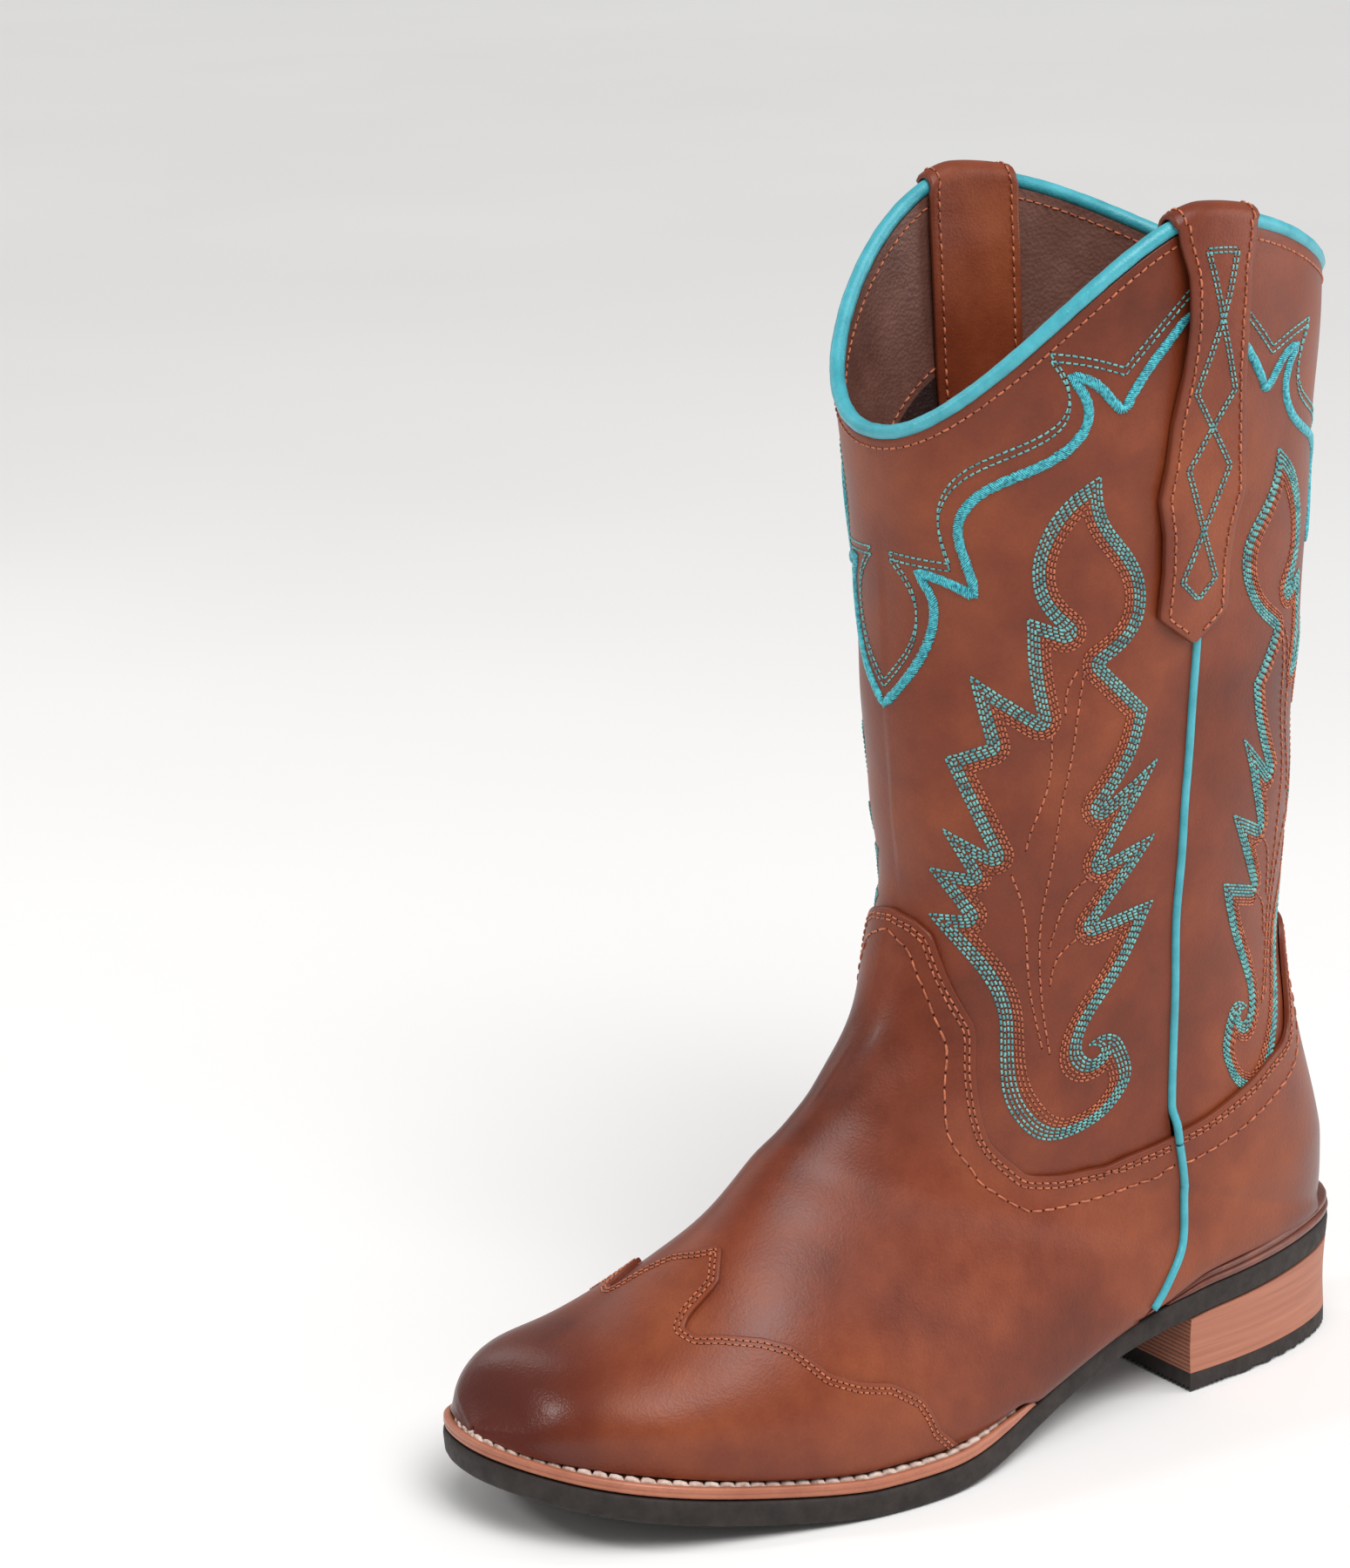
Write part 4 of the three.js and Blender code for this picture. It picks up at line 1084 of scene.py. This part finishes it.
def shaft_grid(lower, start, stop, cols, rows):
    """Rows and columns over a panel of the leg, between two seams and down to a lower edge."""
    f, v = paced(cols, 190)[None], paced(rows, 250)[:, None]
    one = np.ones_like(f)

    def angle(s):
        return start(s) + (stop(s) - start(s)) * f

    top = row_under_binding(angle(one), BINDING_RADIUS - 0.6)
    bottom = lower(angle(6 * one))
    s = top + (bottom - top) * v
    return s, angle(s)


def around(upper_row, lower_row, cols, rows):
    """Rows and columns right round the leg."""
    a = np.linspace(-np.pi, np.pi, cols, endpoint=False)[None]
    top, bottom = upper_row(a), lower_row(a)
    s = top + (bottom - top) * paced(rows, 60)[:, None]
    return s, a * np.ones_like(s)


def seam(s):
    """The edges of the leg's panels at the outer side seam: the front panel's, then the back panel's."""
    return seam_angle(s) - gap_angle(s, SEAM_GAP)


def back_seam(s):
    return seam_angle(s) + gap_angle(s, SEAM_GAP)


def far_back_seam(s):
    return 2 * np.pi - back_seam(s)


def counter_degrees(a):
    return degrees(np.where(a > np.pi, 2 * np.pi - a, a))


def build_panel(name, replaces, edge, start, stop, cols):
    s, a = shaft_grid(edge, start, stop, cols, 190)
    upper(name, s, a, SHAFT, [replaces], step=tuck)


def build_shaft():
    def front_edge(a):
        return vamp_edge(degrees(a)) + HEM

    def back_edge(a):
        return counter_edge(counter_degrees(a)) + HEM

    def facing_top(a):
        return row_under_binding(a, BINDING_RADIUS - 0.5)

    def facing_end(a):
        return row_below_collar(a, FACING_DEPTH)

    def lining_top(a):
        return row_below_collar(a, FACING_DEPTH - LINING_LAP)

    def lining_end(a):
        return np.where(degrees(a) < 98, vamp_edge(degrees(a)) + 1.7, counter_edge(degrees(a)) + 1.1)

    build_panel("shaft_front_panel", "shaft_front", front_edge, lambda s: -seam(s), seam, 150)
    build_panel("shaft_back_panel", "shaft_back", back_edge, back_seam, far_back_seam, 130)
    whole = {"step": tuck, "wrap": True}
    s, a = around(facing_top, facing_end, 160, 40)
    upper("top_facing_leather", s, a, FACING_LAYER, ["top_facing"], FACING, "lining_facing", **whole)
    s, a = around(lining_top, lining_end, 130, 70)
    upper("shaft_lining_leather", s, a, SHAFT_INNER, ["shaft_lining"], SHADED_LINING, "lining", **whole)


def near_seat(points):
    """The counter's low back part."""
    y, z = points[..., 1], points[..., 2]
    return smooth((26 - z + seat(y)) / 12) * rising(y, 76, 20)


def build_foot():
    s, a = front_grid(vamp_edge, EDGE_ROW, TOE_TIP, 190, 130)
    upper("vamp_leather", s, a, FOOT, ["vamp"])
    s, a = front_grid(vamp_edge, 9.3, 19, 70, 50, 2.2, GAP)
    upper("vamp_lining_leather", s, a, VAMP_INNER, ["vamp_lining"], SHADED_LINING, "lining")
    f = 2 * paced(190, 260)[None] - 1
    a = np.clip(spread(f, np.pi), -OVERLAY_REACH, OVERLAY_REACH)
    s = toe_edge(np.degrees(a))
    s = s + (TOE_TIP - s) * paced(90, 110)[:, None]
    upper("toe_overlay_leather", s, a * np.ones_like(s), OVERLAY, ["toe_overlay"])
    s, a = back_grid(counter_edge, 130, 90)
    upper("heel_counter_leather", s, a, FOOT, ["heel_counter"], eased=near_seat)
    s, a = back_grid(counter_edge, 60, 30, TRIM, 1.6, GAP)
    upper("quarter_lining_leather", s, a, QUARTER_INNER, ["quarter_lining"], SHADED_LINING, "lining")


def build_binding():
    a = np.linspace(-np.pi, np.pi, 400, endpoint=False)
    s = row_below_collar(a, 0)
    path, up = skin(s, a, -BINDING_DEPTH), normal(s, a)
    radius = BINDING_LOOK * (1 + 0.018 * np.sin(37 * a + 2 * np.sin(5 * a)) + 0.012 * np.sin(91 * a))
    points, quads = tube(path, up, radius, 18, closed=True, flat=1.04)
    make("collar_binding", points, quads, TURQUOISE, "turquoise_leather", ["top_bead"])


def build_piping():
    first = place_on_side(SEAM_Y, collar(SEAM_Y) - BINDING_RADIUS - 1.6)[0]
    shaft_s = np.linspace(first, 7.18, 160)
    over_edge = rising(shaft_s, 6.55, 0.35)
    shaft_lift = 0.2 + tuck(shaft_s) * (1 - over_edge) + 0.45 * over_edge
    foot_s = np.linspace(7.23, 12.62, 110)
    for part, s, lift in (("shaft", shaft_s, shaft_lift), ("foot", foot_s, 0.55)):
        for name, side in SIDES:
            a = side * seam_angle(s)
            points, quads = tube(skin(s, a, lift), normal(s, a), PIPING_RADIUS)
            label = part + "_piping"
            make(label + "_cord_" + name, points, quads, TURQUOISE, "turquoise_leather", [label + "_" + name])


# ---- Pull straps

SPINE_UP = 90


def strap_spine():
    """The strap's line up the outside, over and down the inside: height, distance out, half width."""
    radius = BINDING_RADIUS + STRAP["clear"]
    z = np.linspace(STRAP["tip"], STRAP["fold"], SPINE_UP)
    free = np.clip((z - LOOSE_FROM) / (STRAP["fold"] - LOOSE_FROM), 0, 1)
    out = radius - BINDING_DEPTH + STRAP["stand_off"] * np.sin(np.pi * free)
    up = np.stack([z, out, read_table(z, STRAP_WIDTH)], -1)
    q = np.linspace(0, np.pi, 26)[1:-1]
    half = np.full(q.shape, 0.5 * (STRAP["half"] + STRAP_WIDTH[-1][1]))
    over = np.stack([STRAP["fold"] + radius * np.sin(q), radius * np.cos(q) - BINDING_DEPTH, half], -1)
    z = np.linspace(STRAP["fold"], STRAP["inner"], 50)
    down = np.stack([z, np.full(z.shape, -radius - BINDING_DEPTH), np.full(z.shape, STRAP["half"])], -1)
    return np.concatenate([up, over, down])


SPINE = strap_spine()
STRAP_RUN = run_of(SPINE[:, :2])
STRAP_FOLD = STRAP_RUN[SPINE_UP]


def spine_at(run):
    """Height, distance out and half width at some way along the strap from its lower tip."""
    return (np.interp(run, STRAP_RUN, SPINE[:, k]) for k in range(3))


def on_strap(side, run, u, grow):
    """A place on a strap: its run along the strap, u mm across it, grow mm out from its inner face."""
    e = 0.8
    z, out, _ = spine_at(run)
    (z1, out1, _), (z0, out0, _) = spine_at(run + e), spine_at(run - e)
    dz, do = z1 - z0, out1 - out0
    length = np.hypot(dz, do) + 1e-9
    y = STRAP["y"] + u
    z = z + (collar(y) - COLLAR["side"]) * smooth((z - LOOSE_FROM) / (STRAP["fold"] - LOOSE_FROM))
    s, a = place_on_side(y, np.minimum(z, SHAFT_TOP))
    p = form(s, a)
    bow = 0.4 * np.sin(z / 13 + side) * rising(z, 226, 10) * falling(z, 330, 12)
    x = p[..., 0] + relief(p) + out + bow + grow * dz / length
    return np.stack([side * x, y, z - grow * do / length], -1)


def strap_up(side, run, u):
    """Direction out from a strap's face."""
    e = 0.7
    along = on_strap(side, run + e, u, 2) - on_strap(side, run - e, u, 2)
    across = on_strap(side, run, u + e, 2) - on_strap(side, run, u - e, 2)
    return side * unit(np.cross(across, along))


def build_strap(name, side, brown, turquoise):
    run = np.interp(paced(170, STRAP_RUN[-1], 0.8), [0, 1], [0, STRAP_RUN[-1]])
    _, _, half = spine_at(run)
    u = (2 * paced(16, 25, 0.8) - 1)[None] * half[:, None]
    run2 = run[:, None] * np.ones_like(u)
    sag = -0.7 * smooth((np.abs(u) / half[:, None] - 0.7) / 0.3) * smooth((STRAP_FOLD - 30 - run2) / 20)
    outer, inner = on_strap(side, run2, u, STRAP["thick"]), on_strap(side, run2, u, sag)
    outer, distance = rounded(outer, inner, 0.7)
    inner, _ = rounded(inner, outer, 0.5)
    points, quads = slab(outer, inner)
    # The strap's borders are painted darker: partly raw edge colour, partly painted shade at its edges.
    edge = np.exp(-distance.ravel() / 0.8)
    make("pull_strap_leather_" + name, points, quads, LEATHER, "upper_leather", ["pull_strap_" + name],
         edge=np.tile(edge, 2), burnish=np.zeros(2 * edge.size))

    def strap_line(run, u):
        return on_strap(side, run, u, STRAP["thick"] + 0.02), strap_up(side, run, u)

    for hand in (-1, 1):
        run = np.linspace(3.2, STRAP_RUN[-1] - 2, 260)
        _, _, half = spine_at(run)
        u = hand * np.maximum(half - 2.7, 0.2)
        sew(brown, *strap_line(run, u), 2.9, radius=0.33, rise=0.24, hole=0.3)
    for line in diamond_lines():
        run = np.interp(line[:, 1], SPINE[:SPINE_UP, 0], STRAP_RUN[:SPINE_UP])
        sew(turquoise, *strap_line(run, line[:, 0]), 1.75, hole=0.22)


DIAMONDS = [(-5, 331), (0, 313), (6.5, 293.5), (0, 283.5), (-7, 272.5), (0, 255), (6, 241.5), (0, 236)]


def diamond_lines():
    """The strap's crossed zigzags in double rows: mm across the strap, height."""
    for mirror in (1, -1):
        corners = np.array([(mirror * u, z) for u, z in DIAMONDS])
        for shift_u in (-0.6, 0.6):
            for p, q in zip(corners, corners[1:]):
                count = max(2, int(np.hypot(*(q - p)) / 1.5))
                t = np.linspace(0, 1, count)[:, None]
                yield p + (q - p) * t + [shift_u, 0]
    for z in (330.4, 331.6):
        yield np.stack([np.linspace(-5, 5, 8), np.full(8, z)], -1)


# ---- Sole

outer_rim = spline(OUTLINE[:, 0], OUTLINE[:, 1])
inner_rim = spline(OUTLINE[:, 0], OUTLINE[:, 2])


def rim(degree, inset):
    """Outer x, inner x and y of the sole's outline, moved in by some distance."""
    q = np.radians(degree)
    shrink = inset * np.maximum(np.sin(q), 0) ** 0.25
    return outer_rim(degree) - shrink, inner_rim(degree) + shrink, -(SOLE_HALF_LENGTH - inset) * np.cos(q)


def rim_angle(y, inset):
    return np.degrees(np.arccos(-y / (SOLE_HALF_LENGTH - inset)))


def lofted(rings):
    """Points and faces through closed rings, each end drawn together to its middle."""
    first, last = (np.broadcast_to(rings[k].mean(0), rings[k].shape) for k in (0, -1))
    rings = np.concatenate([first[None], rings, last[None]])
    return rings.reshape(-1, 3), grid_quads(len(rings), rings.shape[1], wrap_cols=True)


def band_rings(q, profile):
    """Rings of a band along the rim; q is the angle along the sole, positive on the outer side."""
    rings = []
    for inset, height in profile:
        out, into, y = rim(np.abs(q), inset)
        rings.append(np.stack([np.where(q > 0, out, into), y, band_low(y) + height(y)], -1))
    return np.stack(rings, 1)


def shaped_band(q, shape, height):
    """A band along the rim; its shape is a list of insets and shares of its height."""
    return lofted(band_rings(q, [(inset, lambda y, k=k: k * height(y)) for inset, k in shape]))


def across_rings(degree, profile):
    """Rings across the sole; the profile runs down the outer side, and its mirror up the inner side."""
    right, left = [], []
    for inset, z in profile:
        d = degree(inset)
        out, into, y = rim(d, inset)
        right.append(np.stack([out, y, z(y)], -1))
        left.append(np.stack([into, y, z(y)], -1))
    return np.stack(right + left[::-1], 1)


def even_turn(start, stop, count):
    """Even angles along the sole from start to stop, gathered where the outline ends."""
    return start + (stop - start) * (1 - np.cos(np.linspace(0, np.pi, count))) / 2


def build_outsole():
    def top(y):
        return tread(y) + OUTSOLE

    profile = [
        (8, top), (1.2, top), (0.45, lambda y: top(y) - 0.15), (0.1, lambda y: top(y) - 0.7),
        (0, lambda y: top(y) - 2), (0.15, lambda y: top(y) - 4.2), (0.3, lambda y: tread(y) + 1.3),
        (0.7, lambda y: tread(y) + 0.4), (1.5, tread), (8, tread),
    ]
    points, quads = lofted(across_rings(lambda d: even_turn(0, 180, 220), profile))
    make("outsole_rubber", points, quads, RUBBER, "sole_rubber", ["outsole"], sharp=50, weld=True)


def welt_height(y):
    """The welt gets lower towards its ends, which are rounded off."""
    low_end = WELT * (1 - 0.3 * smooth((y + 8) / 12))
    return low_end * np.sqrt(np.maximum(1 - np.clip((y - 4.8) / 4.2, 0, 1) ** 2, 0.002))


def build_welt():
    end = rim_angle(9, 0)
    q = np.concatenate([-even_turn(0.6, end - 3, 150)[::-1], even_turn(0.6, end, 150)])
    shape = [
        (1.0, 0), (0.4, 0.12), (0.2, 0.35), (0.45, 0.46), (0.45, 0.5), (0.2, 0.6), (0.25, 0.85), (0.6, 0.97),
        (1.2, 1.02), (1.9, 0.96), (2.5, 0.72), (4.4, 0.7), (5.2, 0.95), (9, 1), (9, 0),
    ]
    points, quads = shaped_band(q, shape, welt_height)
    make("welt_strip", points, quads, welt_leather(), "welt_leather", ["welt"], sharp=60, weld=True)
    stitches = Threads()
    q = np.concatenate([-even_turn(0.6, end - 8, 150)[::-1], even_turn(0.6, end - 3, 150)])
    path = band_rings(q, [(3.5, lambda y: 0.72 * welt_height(y) + 0.2)])[:, 0]
    up = np.tile([0.0, 0.0, 1.0], (len(path), 1))
    sew(stitches, path, up, 4.3, radius=1.1, fill=1.12, rise=0.6, slant=0.22, hole=0, sides=8)
    stitches.done("welt_lockstitch", WELT_THREAD, "welt_thread")


def build_rand():
    end = rim_angle(62, 0)
    q = np.concatenate([-even_turn(end, 179.4, 90), even_turn(end, 179.4, 90)[::-1]])

    def height(y):
        return 0.7 + 3.5 * rising(y, 56, 22) + 1.2 * rising(y, 84, 40)

    shape = [
        (5, 0), (0.5, 0), (0.1, 0.08), (-0.1, 0.24), (0.1, 0.42), (0.9, 0.49), (0.9, 0.53), (0.35, 0.62),
        (0.3, 0.78), (0.7, 0.93), (1.7, 1.0), (3.4, 0.98), (5, 0.9),
    ]
    points, quads = shaped_band(q, shape, height)
    make("heel_rand_roll", points, quads, rand_leather(), "rand_leather", ["heel_rand"], sharp=60, weld=True)


def build_heel():
    def breast(inset):
        return even_turn(rim_angle(HEEL_BREAST, inset), 180, 110)

    profile = [(8, lambda y: tread(y) - 0.1)]
    for t in np.linspace(0, 1, 9):
        inset = 0.4 + 0.3 * t + 0.4 * math.sin(math.pi * t)
        profile.append((inset, lambda y, t=t: (tread(y) - 0.1) * (1 - t) + (LIFT + 0.1) * t))
    profile.append((9, lambda y: np.full_like(y, LIFT + 0.1)))
    points, quads = lofted(across_rings(breast, profile))
    make("heel_block_wood", points, quads, heel_wood(), "heel_wood", ["heel_block"], sharp=35, weld=True)


def plate(degree, inset, u):
    """Places all over a part of the sole: x, and y on the same grid; u runs across it from 0 to 1."""
    out, into, y = rim(degree, inset)
    x = into[:, None] + (out - into)[:, None] * u
    return x, y[:, None] * np.ones_like(x)


def build_lift():
    """The heel's rubber top lift, its tread cut in small points."""
    x, y = plate(even_turn(rim_angle(HEEL_BREAST, 0.7), 179.4, 170), 0.7, paced(130, 60, 0.6))
    high, pitch = 1.4, 1.9
    cut = high * np.abs(np.sin(np.pi * x / pitch)) * np.abs(np.sin(np.pi * (y + 0.3) / pitch)) ** 0.8
    points, quads = slab(np.stack([x, y, np.full_like(x, LIFT)], -1), np.stack([x, y, cut], -1))
    make("heel_top_lift_rubber", points, quads, RUBBER, "sole_rubber", ["heel_top_lift"], sharp=40)


def build_sock():
    u = np.linspace(0, 1, 21)
    x, y = plate(even_turn(9, 171, 90), 13.5, u)
    low = tread(y) + OUTSOLE + WELT + 3 * GAP + INSOLE_BOARD + GAP
    thick = 1.8 + 0.8 * (1 - (2 * u - 1) ** 4)
    points, quads = slab(np.stack([x, y, low + thick], -1), np.stack([x, y, low], -1))
    make("sock_lining_leather", points, quads, FACING, "lining_facing", ["sock_lining"])


# ---- Stitching on the upper

def sew_leg_patterns():
    rows = flame_rows()
    for panel, from_back, narrow in (("front", False, 1.0), ("back", True, BACK_NARROW)):
        for name, side in SIDES:
            aqua, brown, band = Threads(), Threads(), Threads()
            for k, loops in enumerate(rows):
                threads, radius = (aqua, 0.34) if k < AQUA_ROWS else (brown, 0.26)
                for loop in loops:
                    sew_flat(threads, loop, side, from_back, 1.75, narrow, radius=radius, hole=0.22)
            for vein in FLAME_VEINS:
                sew_flat(brown, stroke(vein), side, from_back, 2.6, narrow, hole=0.26)
            for line in SCALLOP:
                satin(band, stroke(line, 0.5), side, from_back)
            for line in SCALLOP_ROWS:
                for drop in (0, -2.0):
                    sew_flat(aqua, stroke(line) + [0, drop], side, from_back, 2.0, 1.0, hole=0.22)
            tag = panel + "_" + name
            aqua.done("flame_stitching_" + tag, TURQUOISE_THREAD, "turquoise_thread")
            brown.done("inner_stitching_" + tag, BROWN_THREAD, "brown_thread")
            band.done("scallop_satin_" + tag, SATIN_THREAD, "turquoise_thread")


DOUBLE_ROW = (-1.9, -3.2)  # distances of the two rows from an edge


def sew_vamp_edge(brown):
    """A double row along the vamp's edge, and one row further in."""
    f = np.linspace(-1, 1, 500)
    a = spread(f, front_limit(EDGE_ROW)) * 0.985
    sew_edge(brown, vamp_edge(degrees(a)), a, DOUBLE_ROW, 2.5, FOOT[1], hole=0.34)
    a = spread(f, front_limit(7.7)) * 0.985
    far_row = edge_line(VAMP_ROW, 1.2)
    sew_edge(brown, far_row(degrees(a)), a, (0,), 4.1, FOOT[1], hole=0.36, radius=0.34)


def sew_counter_edge(brown):
    first = counter_edge(SEAM_DEGREES)
    g = np.linspace(-1, 1, 400)
    turn = np.abs(g) * (np.pi - seam_angle(first) - gap_angle(first, 1.5))
    a = np.where(g < 0, 1, -1) * (np.pi - turn)
    sew_edge(brown, counter_edge(180 - np.degrees(turn)), a, DOUBLE_ROW, 2.5, FOOT[1], hole=0.34)
    far_row = edge_line(COUNTER_EDGE, 6)
    sew_edge(brown, far_row(180 - np.degrees(turn)), a, (-10.5,), 4.1, FOOT[1], hole=0.33, radius=0.32)


def sew_collar(brown):
    """A row under the binding, outside and inside, and one at the facing's lower edge."""
    a = np.linspace(-np.pi, np.pi, 700)
    under_binding, low = row_under_binding(a, 4.6), row_below_collar(a, FACING_DEPTH - 5)
    inside = FACING_LAYER[0]
    rows = (under_binding, 0, 1, 2.6), (under_binding, inside, -1, 2.8), (low, inside, -1, 3.2)
    for s, off, out, pitch in rows:
        sew(brown, skin(s, a, off), out * normal(s, a), pitch, radius=0.3, hole=0.28)


def sew_edges():
    """Rows along the edges of the vamp, counter, toe overlay and collar."""
    brown = Threads()
    sew_vamp_edge(brown)
    sew_counter_edge(brown)
    a = np.linspace(-2.75, 2.75, 700)
    sew_edge(brown, toe_edge(np.degrees(a)), a, (-1.4, -2.7), 1.9, OVERLAY[1], hole=0.32)
    sew_collar(brown)
    brown.done("edge_stitching", BROWN_THREAD, "brown_thread")


def finish_frame_nodes():
    """The stiff inner pieces that stay as they are take a finished material."""
    for names, material in (
        (("insole_board", "counter_stiffener", "toe_puff"), fibre_board()),
        (("cork_filler",), ground_cork()),
        (("steel_shank", *(f"heel_nail_{k}" for k in range(1, 5))), steel()),
    ):
        for name in names:
            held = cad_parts[name].data.materials
            held.clear()
            held.append(material)


# ---- Studio

def direction(azimuth, elevation):
    """From the boot towards an azimuth and elevation in degrees; azimuth 0 is ahead of the toe."""
    a, e = math.radians(azimuth), math.radians(elevation)
    return Vector((math.sin(a) * math.cos(e), -math.cos(a) * math.cos(e), math.sin(e)))


def show(name, data):
    thing = bpy.data.objects.new(name, data)
    bpy.context.scene.collection.objects.link(thing)
    return thing


def turned_to(away):
    """The turn of a light that stands in some direction from the boot and shines back at it."""
    return away.to_track_quat("Z", "Y").to_euler()


def lay_floor(size=9):
    mesh = bpy.data.meshes.new("studio_floor")
    corners = [(-size, -size), (size, -size), (size, size), (-size, size)]
    mesh.from_pydata([(x, y, -0.0004) for x, y in corners], [], [(0, 1, 2, 3)])
    mesh.materials.append(pale_floor())
    floor = show("studio_floor", mesh)


def light_studio():
    world = bpy.data.worlds.new("studio")
    world.use_nodes = True
    sky = world.node_tree.nodes["Background"].inputs
    sky["Color"].default_value = (1, 1, 1, 1)
    sky["Strength"].default_value = 0.36
    bpy.context.scene.world = world

    middle = Vector((0, -0.02, 0.16))
    for name, azimuth, elevation, reach, width, height, power in (
        ("left_softbox", -80, 26, 1.3, 0.3, 0.8, 1.2),
        ("right_softbox", 150, 18, 1.4, 0.5, 1.0, 5),
        ("toe_softbox", -22, 30, 1.2, 0.1, 0.18, 2.2),
        ("key_softbox", 80, 50, 1.5, 0.7, 0.7, 8),
    ):
        away = direction(azimuth, elevation)
        data = bpy.data.lights.new(name, "AREA")
        data.shape = "RECTANGLE"
        data.size, data.size_y, data.energy = width, height, power
        light = show(name, data)
        light.location = middle + away * reach
        light.rotation_euler = turned_to(away)
    data = bpy.data.lights.new("ceiling", "SUN")
    data.energy, data.angle = 1.5, math.radians(50)
    show("ceiling", data).rotation_euler = turned_to(direction(82, 62))


def place_camera():
    azimuth, elevation, roll = 56.99, 15.16, math.radians(-1.29)
    target, distance = Vector((0, -0.07866, 0.19716)), 1.21977
    right, back = direction(azimuth + 90, 0), direction(azimuth, elevation)
    up = back.cross(right)
    x = right * math.cos(roll) + up * math.sin(roll)
    y = up * math.cos(roll) - right * math.sin(roll)
    data = bpy.data.cameras.new("camera")
    data.lens, data.sensor_width = 106.78, 36
    camera = show("camera", data)
    turn = Matrix((x, y, back)).transposed().to_4x4()
    camera.matrix_world = Matrix.Translation(target + back * distance) @ turn
    bpy.context.scene.camera = camera
    bpy.context.scene.view_settings.view_transform = "Standard"


build_shaft()
build_foot()
build_binding()
build_piping()
strap_brown, strap_aqua = Threads(), Threads()
for strap_name, strap_side in SIDES:
    build_strap(strap_name, strap_side, strap_brown, strap_aqua)
strap_brown.done("strap_edge_stitching", BROWN_THREAD, "brown_thread")
strap_aqua.done("strap_diamond_stitching", TURQUOISE_THREAD, "turquoise_thread")
build_outsole()
build_welt()
build_rand()
build_heel()
build_lift()
build_sock()
sew_leg_patterns()
sew_edges()
HOLE_SHADES.done("needle_hole_shades", needle_hole_shade(), "upper_leather")
finish_frame_nodes()
lay_floor()
light_studio()
place_camera()
